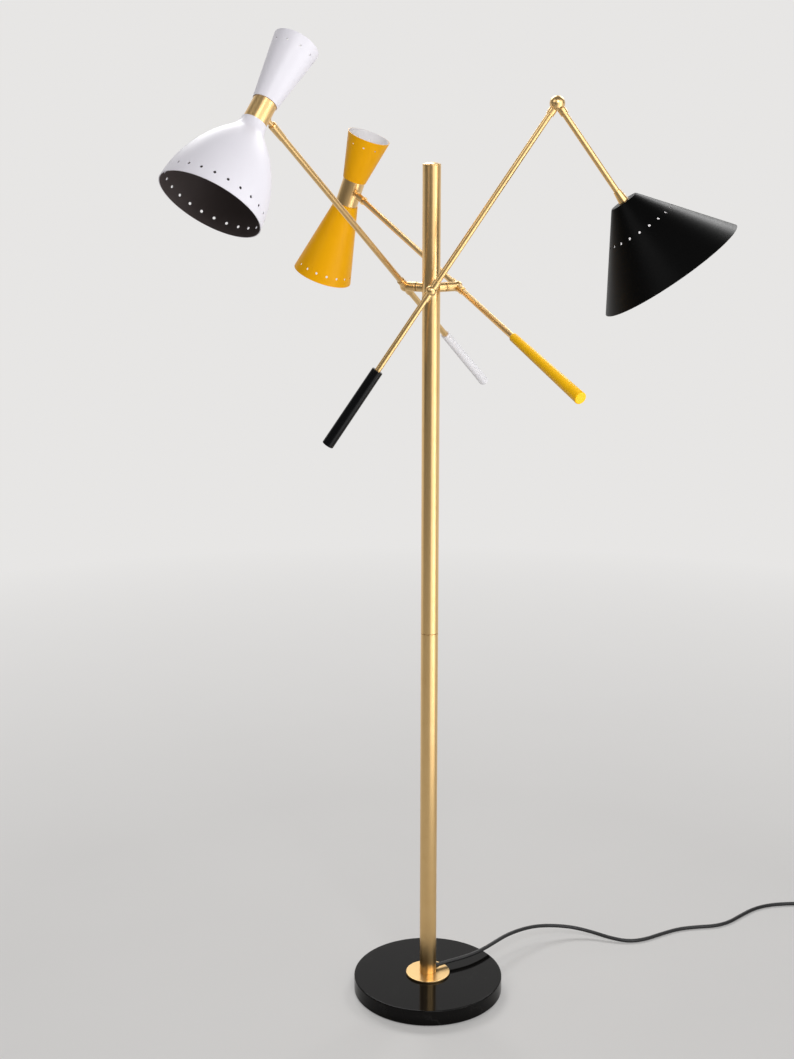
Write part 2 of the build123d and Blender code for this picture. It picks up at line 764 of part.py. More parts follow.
def coil_point(turns):
    """Place and heading on the coil: in along the floor, up in half a turn, out on top."""
    reversal = COIL_TURNS_IN + 0.5
    least = COIL_RADIUS - COIL_PITCH * COIL_TURNS_IN
    climb = min(max(turns - COIL_TURNS_IN, 0), 0.5)
    radius = least + COIL_PITCH * max(COIL_TURNS_IN - turns, turns - reversal, 0)
    height = coil_start.Z + COIL_LAYER * (1 - math.cos(2 * math.pi * climb)) / 2
    rise = COIL_LAYER * math.pi * math.sin(2 * math.pi * climb)
    angle = math.pi / 2 - 2 * math.pi * turns
    place = Vector(
        coil_centre.X + radius * math.cos(angle), coil_centre.Y + radius * math.sin(angle), height
    )
    round_way = 2 * math.pi * radius
    heading = Vector(round_way * math.sin(angle), -round_way * math.cos(angle), rise)
    return place, heading.normalized()


def biarc(start, heading, end, end_heading):
    """Two arcs in space that leave one point and reach the other along the given headings."""
    span = end - start
    both = heading + end_heading
    square = 2 * heading.dot(end_heading) - 2
    linear = span.dot(both)
    reach = (linear - math.sqrt(linear**2 - square * span.dot(span))) / square
    first = start + heading * reach
    second = end - end_heading * reach
    middle = (first + second) * 0.5
    return [
        TangentArc(start, middle, tangent=heading),
        TangentArc(middle, end, tangent=second - first),
    ]


def coil_tube():
    """The put-away length as one tube, with its least gap to itself measured on points."""
    quarters = round(4 * (COIL_TURNS_IN + 0.5 + COIL_TURNS_OUT))
    stations = [coil_point(quarter / 4) for quarter in range(quarters + 1)]
    first, last = stations[0], stations[-1]
    edges = [Line(Vector(*CORD_ROUTE[-1]), first[0])]
    for (start, heading), (end, end_heading) in zip(stations, stations[1:]):
        edges += biarc(start, heading, end, end_heading)
    edges.append(Line(last[0], last[0] + last[1] * COIL_TAIL))
    path = Wire(edges)
    start = Plane(origin=path @ 0, z_dir=path % 0)
    tube = sweep(start * Circle(CORD_DIA / 2), path=path)
    samples = []
    travelled = 0
    for edge in edges:
        for share in (0, 0.25, 0.5, 0.75):
            samples.append((travelled + share * edge.length, edge @ share))
        travelled += edge.length
    apart = 2 * math.pi * (COIL_RADIUS - COIL_PITCH * COIL_TURNS_IN) * 0.4
    gap = min(
        (there - here).length - CORD_DIA
        for at_here, here in samples
        for at_there, there in samples
        if at_there - at_here > apart
    )
    section = math.pi * CORD_DIA**2 / 4
    print("coil length", round(path.length), "volume share", round(tube.volume / section / path.length, 4))
    print("coil least gap to itself", round(gap, 2))
    return tube


def cord_tie():
    """A strap closed round the coil on its -Y side, lying on the floor."""
    least = COIL_RADIUS - COIL_PITCH * COIL_TURNS_IN
    inner_edge = math.sqrt((least - CORD_DIA / 2) ** 2 - (TIE_WIDTH / 2) ** 2) - TIE_ROOM
    outer_edge = COIL_RADIUS - COIL_PITCH / 2 + CORD_DIA / 2 + TIE_ROOM
    low = coil_start.Z - CORD_DIA / 2 - TIE_ROOM
    high = coil_start.Z + COIL_LAYER + CORD_DIA / 2 + TIE_ROOM
    middle = coil_centre.Y - (inner_edge + outer_edge) / 2
    corner = (coil_centre.X - TIE_WIDTH / 2, middle, (low + high) / 2)
    across = Plane(origin=corner, x_dir=(0, 1, 0), z_dir=(1, 0, 0))
    width = outer_edge - inner_edge
    height = high - low
    band = RectangleRounded(width + 2 * TIE_THICK, height + 2 * TIE_THICK, TIE_ROUND + TIE_THICK)
    band -= RectangleRounded(width, height, TIE_ROUND)
    return extrude(across * band, TIE_WIDTH)


def plug_plane():
    """Z runs out of the coil's tail along the plug, X lies level."""
    place, heading = coil_point(COIL_TURNS_IN + 0.5 + COIL_TURNS_OUT)
    return Plane(origin=place + heading * COIL_TAIL, x_dir=(0, 0, 1), z_dir=heading)


def plug_body():
    height = 2 * (coil_start.Z + COIL_LAYER)
    relief = turned(
        (0, 0),
        (PLUG_RELIEF_DIA / 2, 0),
        (PLUG_RELIEF_END_DIA / 2, PLUG_RELIEF_LENGTH),
        (0, PLUG_RELIEF_LENGTH),
    )
    block = extrude(RectangleRounded(height, PLUG_WIDTH, PLUG_ROUND), PLUG_LENGTH)
    ends = block.edges().filter_by(Plane.XY).group_by(Axis.Z)[0]
    block = fillet(ends, PLUG_ROUND / 2)
    body = relief + Pos(0, 0, PLUG_RELIEF_LENGTH) * block
    return plug_plane() * (body - [pin_place(side) * pin(SEAT_GAP) for side in (-1, 1)])


def pin_place(side):
    return Pos(0, side * PLUG_PIN_SPACING / 2, PLUG_RELIEF_LENGTH + PLUG_LENGTH)


def pin(room=0):
    return barrel(PLUG_PIN_DIA / 2 + room, -PLUG_PIN_SUNK - room, PLUG_PIN_LENGTH)


def cord_bush():
    """Insulating bush in the pole's wall with a short tapered nose."""
    return exit_plane() * turned(
        (CORD_DIA / 2 + SEAT_GAP, pole_bore - BUSH_INSIDE),
        (BUSH_DIA / 2, pole_bore - BUSH_INSIDE),
        (BUSH_DIA / 2, pole_radius),
        (BUSH_TIP_DIA / 2, pole_radius + BUSH_PROUD),
        (CORD_DIA / 2 + SEAT_GAP, pole_radius + BUSH_PROUD),
    )


os.makedirs("parts", exist_ok=True)

# Stand
stud_high = PLUG_Z + FOOT_PLUG_LENGTH
stud_fit = STUD_DIA / 2 + SEAT_GAP
write("base_pad", barrel(PAD_DIA / 2, 0, PAD_THICK))
write("base_disc", base_disc())
write("base_washer", barrel(WASHER_DIA / 2, recess_top - WASHER_THICK, recess_top, stud_fit))
write("base_nut", base_nut())
write("base_stud", barrel(STUD_DIA / 2, nut_bottom - STUD_TAIL, stud_high, STUD_BORE / 2))
write("base_flange", base_flange())
write("foot_plug", foot_plug())
write("lower_pole", lower_pole())
write("upper_pole", upper_pole())
seam_half = COUPLER_LENGTH / 2
write("pole_coupler", barrel(inner_fit, SEAM_Z - seam_half, SEAM_Z + seam_half, inner_fit - COUPLER_WALL))
write("pole_cap", pole_cap())
write("hub_core", hub_core())
write("hub_bosses", *[hub_boss(angle) for angle in SPOKES])
write("pivot_pins", *[pivot_pin(angle) for angle in SPOKES])
write("friction_washers", *[friction_washer(angle) for angle in SPOKES])
write("terminal_block", terminal_block())

# Cord
coil_start = Vector(*CORD_ROUTE[-1])
coil_centre = coil_start + Vector(CORD_DIA, -COIL_RADIUS, 0)
write("cord_bush", cord_bush())
write("mains_cord", cord_tube())
write("cord_coil", coil_tube())
write("cord_tie", cord_tie())
write("plug_body", plug_body())
write("plug_pins", *[plug_plane() * pin_place(side) * pin() for side in (-1, 1)])

# White and yellow arms with their double shades
white_arm = arm_plane(WHITE_SPOKE, WHITE_TILT)
yellow_arm = arm_plane(YELLOW_SPOKE, YELLOW_TILT)
black_arm = arm_plane(BLACK_SPOKE, BLACK_TILT)
grips = {
    "white": (white_arm, WHITE_GRIP_START, WHITE_GRIP_END, WHITE_GRIP_DIA, WHITE_GRIP_END_DIA),
    "yellow": (yellow_arm, YELLOW_GRIP_START, YELLOW_GRIP_END, YELLOW_GRIP_DIA, YELLOW_GRIP_END_DIA),
    "black": (black_arm, BLACK_GRIP_START, BLACK_GRIP_END, BLACK_GRIP_DIA, BLACK_GRIP_END_DIA),
}
for colour, (arm, start, end, start_dia, end_dia) in grips.items():
    write(f"{colour}_knuckle", arm * knuckle())
    write(f"{colour}_grub_screw", arm * grub_screw())
    write(f"{colour}_lower_rod", arm * rod(-start - GRIP_DEPTH, -ROD_SOCKET))
    write(f"{colour}_grip", arm * grip(start, end, start_dia, end_dia))

swivels = {
    "white": (white_arm, WHITE_REACH, WHITE_RING_DIA / 2, WHITE_NECK, WHITE_FERRULE_LENGTH, 0),
    "yellow": (
        yellow_arm,
        YELLOW_REACH,
        YELLOW_RING_DIA / 2,
        YELLOW_NECK,
        YELLOW_FERRULE_LENGTH,
        YELLOW_BEAD_DIA,
    ),
}
for colour, (arm, reach, ring_radius, neck, ferrule_length, bead_dia) in swivels.items():
    seat = reach - ring_radius - RING_BOSS_RISE
    ferrule_end = seat - neck
    ferrule_start = ferrule_end - ferrule_length
    write(f"{colour}_upper_rod", arm * rod(ROD_SOCKET, ferrule_start + FERRULE_SOCKET))
    write(f"{colour}_ferrule", arm * ferrule(ferrule_start, ferrule_length, bead_dia))
    write(f"{colour}_swivel_stub", arm * swivel_stub(ferrule_end, seat, reach))

white_up = shade_plane(white_arm, WHITE_REACH, WHITE_ROLL, WHITE_LEAN)
white_down = shade_plane(white_arm, WHITE_REACH, WHITE_ROLL, WHITE_LEAN, down=True)
yellow_up = shade_plane(yellow_arm, YELLOW_REACH, YELLOW_ROLL, YELLOW_LEAN)
yellow_down = shade_plane(yellow_arm, YELLOW_REACH, YELLOW_ROLL, YELLOW_LEAN, down=True)
white_ring = WHITE_RING_DIA / 2
yellow_ring = YELLOW_RING_DIA / 2
white_neck = white_ring + SPIGOT_GAP + SHADE_WALL
yellow_neck = yellow_ring + SPIGOT_GAP + SHADE_WALL
holder_start = CROSS_DIA / 2 + HOLDER_CLEAR
holder = lampholder(holder_start, HOLDER_DIA, HOLDER_LENGTH)
write("white_ring", white_up * ring(white_ring, WHITE_RING_LOW, WHITE_RING_HIGH, WHITE_LEAN))
write("white_holder_cross", white_up * holder_cross(white_ring, WHITE_LEAN))
write("white_lampholders", white_up * holder, white_down * holder)
write("white_bell", white_down * Pos(0, 0, WHITE_RING_LOW) * bell(white_neck))
half_step = 180 / WHITE_CONE_HOLES
white_cone = spun_cone(
    white_neck, WHITE_CONE_DIA / 2, WHITE_CONE_LENGTH, WHITE_CONE_HOLES, SMALL_HOLE_DIA, half_step
)
write("white_upper_shade", white_up * Pos(0, 0, WHITE_RING_HIGH) * white_cone)
write("yellow_ring", yellow_up * ring(yellow_ring, YELLOW_RING_LOW, YELLOW_RING_HIGH, YELLOW_LEAN))
write("yellow_holder_cross", yellow_up * holder_cross(yellow_ring, YELLOW_LEAN))
write("yellow_lampholders", yellow_up * holder, yellow_down * holder)
yellow_lower = spun_cone(
    yellow_neck, YELLOW_LOWER_DIA / 2, YELLOW_LOWER_LENGTH, YELLOW_LOWER_HOLES, BIG_HOLE_DIA
)
write("yellow_lower_shade", yellow_down * Pos(0, 0, YELLOW_RING_LOW) * yellow_lower)
yellow_upper = spun_cone(
    yellow_neck, YELLOW_UPPER_DIA / 2, YELLOW_UPPER_LENGTH, YELLOW_UPPER_HOLES, SMALL_HOLE_DIA
)
write("yellow_upper_shade", yellow_up * Pos(0, 0, YELLOW_RING_HIGH) * yellow_upper)

# Black arm with its elbow and head
elbow_centre = black_arm.origin + black_arm.z_dir * ELBOW_REACH
elbow_spoke = spoke_direction(BLACK_SPOKE)
head_level = spoke_direction(BLACK_SPOKE + 90)
head_slope = math.radians(HEAD_ANGLE)
head_axis = head_level * math.cos(head_slope) + Vector(0, 0, math.sin(head_slope))
arm_elbow = Plane(origin=elbow_centre, x_dir=elbow_spoke, z_dir=black_arm.z_dir * -1)
head = Plane(origin=elbow_centre, x_dir=elbow_spoke, z_dir=head_axis)
write("black_upper_rod", black_arm * rod(ROD_SOCKET, ELBOW_REACH - ELBOW_SOCKET))
write("elbow_rear_cheek", arm_elbow * rear_cheek())
write("elbow_front_cheek", head * front_cheek())
write("elbow_screw", head * elbow_screw())
nut_low = HEAD_TOP + SHADE_WALL
nut_high = nut_low + CLAMP_NUT_THICK
write("head_rod", head * rod(ELBOW_SOCKET, nut_high + HOLDER_BASE))
write("head_ferrule", head * head_ferrule())
write("black_shade", head * black_shade())
write("shade_nut", head * barrel(CLAMP_NUT_DIA / 2, nut_low, nut_high, rod_seat))
write("black_lampholder", head * lampholder(nut_high, BLACK_HOLDER_DIA, BLACK_HOLDER_LENGTH))
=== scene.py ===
# %% [markdown]
# # A three-arm floor lamp
# A brass pole on a polished stone disc carries three arms on a three-way hub. Two arms end in
# double shades, the third in an elbow and a wide black cone, and each arm has a painted grip.
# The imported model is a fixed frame. Its joints say where every arm and shade sits, so the finer
# shapes made here go to the same places and move with the same bodies.

# %% Load the frame
import json
import math

import bmesh
import bpy
from mathutils import Matrix, Vector


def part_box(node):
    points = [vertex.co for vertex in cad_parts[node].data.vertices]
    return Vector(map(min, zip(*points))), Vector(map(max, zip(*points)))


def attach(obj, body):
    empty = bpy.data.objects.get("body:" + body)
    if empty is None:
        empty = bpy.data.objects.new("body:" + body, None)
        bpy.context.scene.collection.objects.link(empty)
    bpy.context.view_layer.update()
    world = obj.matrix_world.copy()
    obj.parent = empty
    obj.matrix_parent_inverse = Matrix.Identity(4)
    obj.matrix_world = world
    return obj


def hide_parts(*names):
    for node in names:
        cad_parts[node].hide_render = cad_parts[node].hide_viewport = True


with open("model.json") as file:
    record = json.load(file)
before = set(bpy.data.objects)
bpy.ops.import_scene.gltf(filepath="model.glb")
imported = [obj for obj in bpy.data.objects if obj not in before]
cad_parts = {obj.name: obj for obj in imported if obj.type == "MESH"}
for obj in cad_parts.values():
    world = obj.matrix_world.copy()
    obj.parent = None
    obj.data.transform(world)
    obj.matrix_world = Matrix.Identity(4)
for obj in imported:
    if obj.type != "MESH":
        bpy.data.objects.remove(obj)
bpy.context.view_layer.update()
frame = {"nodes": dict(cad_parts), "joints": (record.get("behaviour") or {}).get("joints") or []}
scene = bpy.context.scene
link_object = scene.collection.objects.link
MM = 0.001

# %% [markdown]
# ## Camera
# The picture was taken a little above the shades, looking down. The camera's place, its slope and
# its lens were worked out from the upright pole, the round base and the lamp's height, so they are
# written here as plain numbers. A camera in Blender looks along its own -Z axis.

# %% Camera
CAMERA_PLACE = Vector((0, -2.764, 1.5687))
CAMERA_DOWN = math.radians(14.171)
CAMERA_LEFT = math.radians(1.173)
CAMERA_LENS = 56.56
SENSOR_WIDTH = 36

looking = Vector((
    -math.sin(CAMERA_LEFT) * math.cos(CAMERA_DOWN),
    math.cos(CAMERA_LEFT) * math.cos(CAMERA_DOWN),
    -math.sin(CAMERA_DOWN),
))
camera_data = bpy.data.cameras.new("camera")
camera_data.lens = CAMERA_LENS
camera_data.sensor_width = SENSOR_WIDTH
camera = bpy.data.objects.new("camera", camera_data)
camera.location = CAMERA_PLACE
camera.rotation_euler = looking.to_track_quat("-Z", "Y").to_euler()
link_object(camera)
scene.camera = camera
scene.view_settings.view_transform = "Standard"
print("camera looks along", [round(value, 3) for value in looking])

# %% [markdown]
# ## Mains cord
# The cord leaves the pole just above the flange, droops over the edge of the base and wanders off
# to the right. What the picture doesn't show is wound into a tied coil of two layers. A NURBS spline
# treats its points as a control frame and rounds them, so a few listed points give a smooth cord.

# %% Cord route
CORD_THICK = 7
CORD_ROUTE = [
    (8.5, 5.3, 42), (24, 15, 42), (41, 24.5, 42.6), (60, 34, 43.2),
    (83, 49, 43.4), (106, 72, 43), (126, 99, 41.6), (149, 131, 39.5),
    (178, 161, 36), (210, 186, 31), (247, 200, 25), (284, 206, 18.5),
    (320, 200, 12), (354, 186, 7), (388, 178, 4.2), (421, 187, 3.7),
    (457, 211, 3.6), (493, 232, 3.6), (532, 241, 3.6), (569, 246, 3.6),
    (599, 263, 3.6), (627, 292, 3.6), (658, 321, 3.6), (690, 337, 3.6),
    (721, 343, 3.7), (752, 344.3, 4.2), (780, 344, 5), (806, 344, 5),
]
print("route points", len(CORD_ROUTE))

# %% Coil
COIL_RADIUS = 50
COIL_PITCH = 9
COIL_LAYER = 7.5
TURNS_IN = 2.5
TURNS_UP = 0.5
TURNS_OUT = 2.25
TAIL = 32
POINTS_PER_TURN = 16

coil_middle = Vector(CORD_ROUTE[-1]) + Vector((CORD_THICK, -COIL_RADIUS, 0))
inner_radius = COIL_RADIUS - COIL_PITCH * TURNS_IN
last_turn = TURNS_IN + TURNS_UP + TURNS_OUT
coil_points = []
for count in range(round(last_turn * POINTS_PER_TURN) + 1):
    turns = count / POINTS_PER_TURN
    climb = min(max(turns - TURNS_IN, 0), TURNS_UP)
    radius = inner_radius + COIL_PITCH * max(TURNS_IN - turns, turns - TURNS_IN - TURNS_UP, 0)
    radius /= math.cos(math.pi / POINTS_PER_TURN)
    angle = math.pi / 2 - 2 * math.pi * turns
    rise = COIL_LAYER * (1 - math.cos(2 * math.pi * climb)) / 2
    coil_points.append(coil_middle + Vector((radius * math.cos(angle), radius * math.sin(angle), rise)))
tail_end = coil_middle + Vector((inner_radius + COIL_PITCH * TURNS_OUT, -TAIL, COIL_LAYER))
print("coil points", len(coil_points), "plug at", [round(value) for value in tail_end])

# %% Cord curve
CORD_ROUND_STEPS = 5
CORD_STEPS = 8
CORD_ORDER = 3

cord_points = [Vector(point) for point in CORD_ROUTE] + coil_points
cord_points += [tail_end + Vector((0, TAIL / 2, 0)), tail_end]
cord_curve = bpy.data.curves.new("mains_cord_line", "CURVE")
cord_curve.dimensions = "3D"
cord_curve.bevel_depth = CORD_THICK / 2 * MM
cord_curve.bevel_resolution = CORD_ROUND_STEPS
cord_curve.resolution_u = CORD_STEPS
cord_curve.use_fill_caps = True
cord_line = cord_curve.splines.new("NURBS")
cord_line.points.add(len(cord_points) - 1)
for place, point in zip(cord_line.points, cord_points):
    place.co = (*(point * MM), 1)
cord_line.order_u = CORD_ORDER
cord_line.use_endpoint_u = True
cord = bpy.data.objects.new("cord", cord_curve)
link_object(cord)

# %% [markdown]
# ## Writing finishes as sums
# A finish is a small network of nodes. Wiring it by hand takes many lines, so one class wraps a
# socket and lets Python's signs add the Math nodes, and another makes any other node and feeds the
# shader. A finish then reads like a recipe: cloudy colour, fine lines in the roughness, a bump.

# %% Values in a finish
class Flow:
    """A value in a finish. Plain maths on it adds Math nodes."""

    def __init__(self, finish, socket):
        self.finish = finish
        self.socket = socket

    def sum_with(self, operation, first, second):
        return self.finish.add("ShaderNodeMath", {"operation": operation}, {0: first, 1: second})

    def __add__(self, other):
        return self.sum_with("ADD", self, other)

    def __radd__(self, other):
        return self.sum_with("ADD", other, self)

    def __sub__(self, other):
        return self.sum_with("SUBTRACT", self, other)

    def __rsub__(self, other):
        return self.sum_with("SUBTRACT", other, self)

    def __mul__(self, other):
        return self.sum_with("MULTIPLY", self, other)

    def __rmul__(self, other):
        return self.sum_with("MULTIPLY", other, self)


print("values can be added, subtracted and multiplied")

# %% A finish
class Finish:
    """A material in the making."""

    def __init__(self, name):
        self.material = bpy.data.materials.new(name)
        self.material.use_nodes = True
        self.tree = self.material.node_tree
        self.shader = self.tree.nodes["Principled BSDF"]

    def add(self, kind, settings, sockets, output=0):
        """Make one node, with its settings first and then what goes into its sockets."""
        node = self.tree.nodes.new(kind)
        for key, value in settings.items():
            if key == "stops":
                stops = node.color_ramp.elements
                while len(stops) < len(value):
                    stops.new(0.5)
                for stop, (position, level) in zip(stops, value):
                    stop.position = position
                    stop.color = (level, level, level, 1)
            else:
                setattr(node, key, value)
        for key, value in sockets.items():
            self.feed(node.inputs[key], value)
        return Flow(self, node.outputs[output])

    def feed(self, socket, value):
        if isinstance(value, Flow):
            self.tree.links.new(value.socket, socket)
        else:
            socket.default_value = value

    def surface(self, **sockets):
        """Feed the shader: base_color goes to Base Color, and so on."""
        for key, value in sockets.items():
            self.feed(self.shader.inputs[key.replace("_", " ").title().replace("Ior", "IOR")], value)
        return self.material

    def own_place(self):
        """Where a point is on its own piece, which follows a tilted rod or shade."""
        return self.add("ShaderNodeAttribute", {"attribute_name": "own_place"}, {}, "Vector")

    def object_place(self):
        return self.add("ShaderNodeTexCoord", {}, {}, "Object")

    def stretched(self, place, scale):
        return self.add("ShaderNodeMapping", {}, {"Vector": place, "Scale": scale})

    def noise(self, place, scale, detail=2, rough=0.5):
        sockets = {"Vector": place, "Scale": scale, "Detail": detail, "Roughness": rough}
        return self.add("ShaderNodeTexNoise", {}, sockets)

    def between(self, value, low, high):
        """Spread a value so that low gives 0 and high gives 1."""
        return self.add("ShaderNodeValToRGB", {"stops": [(low, 0), (high, 1)]}, {"Fac": value})

    def mixed(self, first, second, share):
        """Mix two colours. A Mix node's colours are its sockets 6 and 7, and its output 2."""
        sockets = {0: share, 6: (*first, 1), 7: (*second, 1)}
        return self.add("ShaderNodeMix", {"data_type": "RGBA"}, sockets, 2)

    def bump(self, height, strength, depth):
        sockets = {"Strength": strength, "Distance": depth, "Height": height}
        return self.add("ShaderNodeBump", {}, sockets)


print("finish helper ready")

# %% [markdown]
# ## Brass
# The pole, rods, knuckles and rings are brass that was polished along its length and lacquered. Up
# close the polish is thousands of fine lines, and the lacquer has aged a little unevenly. Noise that
# is pulled out along the piece's own axis gives the lines, and a wide noise gives the clouds.

# %% Brass finish
BRASS_PALE = (0.87, 0.60, 0.28)
BRASS_DEEP = (0.73, 0.46, 0.18)


def brass(name, by_piece=True):
    finish = Finish(name)
    place = finish.own_place() if by_piece else finish.object_place()
    cloud = finish.noise(place, scale=26, detail=3)
    lines = finish.noise(finish.stretched(place, (1, 1, 0.01)), scale=500, detail=1)
    tarnish = finish.between(finish.noise(place, scale=60), low=0.52, high=0.78)
    colour = finish.mixed(BRASS_PALE, BRASS_DEEP, 0.5 * cloud + 0.15 * tarnish)
    return finish.surface(
        base_color=colour,
        metallic=1.0,
        roughness=0.25 + 0.04 * lines + 0.05 * cloud + 0.03 * tarnish,
        normal=finish.bump(lines, strength=0.02, depth=0.00004),
    )


polished_brass = brass("polished_brass")
inner_brass = brass("inner_brass", by_piece=False)
print("brass finishes", polished_brass.name, inner_brass.name)

# %% [markdown]
# ## Enamel
# The shades and grips are sprayed with stoved enamel. Sprayed paint is never quite flat: it has a
# fine orange peel, and its gloss drifts from place to place. Shades are satin and grips are glossier,
# so both come from one recipe with different numbers.

# %% Enamel finish
def enamel(name, colour, deeper, rough, shine=0.5):
    finish = Finish(name)
    place = finish.own_place()
    drift = finish.noise(place, scale=18, detail=3)
    peel = finish.noise(place, scale=600, detail=1)
    specks = finish.between(finish.noise(place, scale=420, detail=1), low=0.74, high=0.78)
    return finish.surface(
        base_color=finish.mixed(colour, deeper, 0.8 * drift + 0.2 * specks),
        roughness=rough + 0.1 * drift + 0.04 * peel,
        specular_ior_level=shine,
        normal=finish.bump(peel, strength=0.02, depth=0.00006),
    )


white_satin = enamel("white_satin", (0.82, 0.80, 0.86), (0.76, 0.74, 0.80), rough=0.36)
charcoal_satin = enamel("charcoal_satin", (0.100, 0.076, 0.074), (0.080, 0.062, 0.060), rough=0.5)
yellow_satin = enamel("yellow_satin", (0.99, 0.48, 0.0), (0.93, 0.41, 0.0), rough=0.3, shine=0.18)
lining_white = enamel("lining_white", (0.84, 0.82, 0.83), (0.77, 0.75, 0.76), rough=0.5)
black_satin = enamel("black_satin", (0.002, 0.002, 0.002), (0.001, 0.001, 0.001), rough=0.3, shine=0.06)
white_gloss = enamel("white_gloss", (0.86, 0.85, 0.88), (0.80, 0.79, 0.82), rough=0.2)
yellow_gloss = enamel("yellow_gloss", (0.99, 0.54, 0.0), (0.93, 0.48, 0.0), rough=0.2, shine=0.25)
black_gloss = enamel("black_gloss", (0.003, 0.003, 0.004), (0.002, 0.002, 0.002), rough=0.12, shine=0.2)
print("enamels from", white_satin.name, "to", black_gloss.name)

# %% [markdown]
# ## Stone, felt and the hidden materials
# The base is a slab of black marble, polished until it mirrors. Real black marble carries faint
# grey threads, which are the places where a noise passes through its middle value. The hidden
# pieces get plain finishes of their own, because the lamp can be turned over or taken apart.

# %% Stone finish
MARBLE_BLACK = (0.004, 0.0037, 0.0035)
MARBLE_THREAD = (0.018, 0.017, 0.016)
THREAD_STOPS = [(0.485, 0), (0.5, 1), (0.515, 0)]


def marble(name):
    finish = Finish(name)
    place = finish.own_place()
    swirl = finish.noise(place, scale=9, detail=6, rough=0.62)
    thread = finish.add("ShaderNodeValToRGB", {"stops": THREAD_STOPS}, {"Fac": swirl})
    patch = finish.between(finish.noise(place, scale=14), low=0.45, high=0.75)
    crystal = finish.noise(place, scale=700)
    return finish.surface(
        base_color=finish.mixed(MARBLE_BLACK, MARBLE_THREAD, thread * patch),
        roughness=0.06 + 0.05 * crystal + 0.04 * patch,
        specular_ior_level=0.12,
        normal=finish.bump(crystal, strength=0.03, depth=0.00005),
    )


black_marble = marble("black_marble")
print("stone", black_marble.name)

# %% Plain finishes
def plain(name, colour, deeper, rough, grain, depth, metal=0.0, by_piece=False, stretch=(1, 1, 1)):
    """A finish with one kind of grain, in grains per metre, that shows in colour, gloss and bump."""
    finish = Finish(name)
    place = finish.own_place() if by_piece else finish.object_place()
    grains = finish.noise(finish.stretched(place, stretch), scale=grain, detail=3, rough=0.6)
    drift = finish.noise(place, scale=30)
    return finish.surface(
        base_color=finish.mixed(colour, deeper, 0.6 * grains + 0.4 * drift),
        metallic=metal,
        roughness=rough + 0.12 * grains,
        normal=finish.bump(grains, strength=0.25, depth=depth),
    )


black_felt = plain(
    "felt", (0.030, 0.032, 0.030), (0.012, 0.013, 0.012),
    rough=0.85, grain=1800, depth=0.0004,
)
bright_steel = plain(
    "steel", (0.56, 0.57, 0.58), (0.42, 0.43, 0.44),
    rough=0.22, grain=900, depth=0.00003, metal=1.0,
)
dark_fibre = plain(
    "fibre", (0.045, 0.034, 0.028), (0.022, 0.016, 0.013),
    rough=0.6, grain=1600, depth=0.0001,
)
cream_nylon = plain(
    "nylon", (0.74, 0.71, 0.62), (0.62, 0.59, 0.50),
    rough=0.4, grain=500, depth=0.00005,
)
porcelain = plain(
    "porcelain", (0.80, 0.78, 0.73), (0.70, 0.68, 0.62),
    rough=0.12, grain=220, depth=0.00005, by_piece=True,
)
socket_brass = plain(
    "socket_brass", (0.72, 0.55, 0.27), (0.50, 0.36, 0.16),
    rough=0.26, grain=700, depth=0.00003, metal=1.0, by_piece=True,
)
cord_rubber = plain(
    "cord_rubber", (0.014, 0.014, 0.015), (0.007, 0.007, 0.008),
    rough=0.42, grain=1300, depth=0.00006,
)
moulded_black = plain(
    "moulded_black", (0.016, 0.016, 0.017), (0.009, 0.009, 0.010),
    rough=0.36, grain=1100, depth=0.00008, by_piece=True,
)
strap_black = plain(
    "strap_black", (0.020, 0.020, 0.022), (0.008, 0.008, 0.009),
    rough=0.7, grain=1500, depth=0.0002, stretch=(3, 1, 1),
)
bright_nickel = plain(
    "nickel", (0.66, 0.64, 0.60), (0.54, 0.52, 0.48),
    rough=0.14, grain=600, depth=0.00002, metal=1.0, by_piece=True,
)
print("plain finishes from", black_felt.name, "to", bright_nickel.name)

# %% [markdown]
# ## Turned shapes
# Nearly every piece of this lamp comes off a lathe, so one helper does the same: it draws half an
# outline and spins it. An outline is a list of corners (radius, height), and a bend (radius, height,
# degrees) swings the last corner round a centre. A small bevel then breaks each sharp edge, because
# a lathe hand always takes it off, and that thin line of light is what makes metal look made.

# %% Lathe
LATHE_STEPS = 72
BEND_STEPS = 10
MERGE_REACH = 1e-6
SHARP_EDGE = math.radians(30)


def draw(bm, outline, bends=BEND_STEPS):
    """Draw half an outline in the XZ plane from corners and bends, in millimetres."""
    last = None
    for step in outline:
        at = (step[0] * MM, 0, step[1] * MM)
        if len(step) == 2:
            corner = bm.verts.new(at)
            if last:
                bm.edges.new((last, corner))
            last = corner
        else:
            swing = math.radians(step[2])
            made = bmesh.ops.spin(
                bm, geom=[last], cent=at, axis=(0, -1, 0), angle=swing, steps=bends
            )
            last = made["geom_last"][0]
    return last


def spin_round(bm, steps=LATHE_STEPS):
    """Spin all that is drawn about Z, and close the seam and the poles."""
    bmesh.ops.spin(
        bm,
        geom=list(bm.verts) + list(bm.edges),
        cent=(0, 0, 0),
        axis=(0, 0, 1),
        angle=2 * math.pi,
        steps=steps,
        use_merge=True,
    )
    bmesh.ops.remove_doubles(bm, verts=bm.verts, dist=MERGE_REACH)
    bmesh.ops.recalc_face_normals(bm, faces=bm.faces)


def break_edges(bm, width, segments=3):
    """Round every sharp edge by a width in millimetres."""
    sharp = [edge for edge in bm.edges if edge.calc_face_angle(0) > SHARP_EDGE]
    bmesh.ops.bevel(
        bm,
        geom=sharp,
        offset=width * MM,
        affect="EDGES",
        segments=segments,
        profile=0.5,
        material=-1,
        clamp_overlap=True,
    )


def to_mesh(bm, finishes, name="blank"):
    mesh = bpy.data.meshes.new(name)
    bm.to_mesh(mesh)
    bm.free()
    for finish in finishes:
        mesh.materials.append(finish)
    return mesh


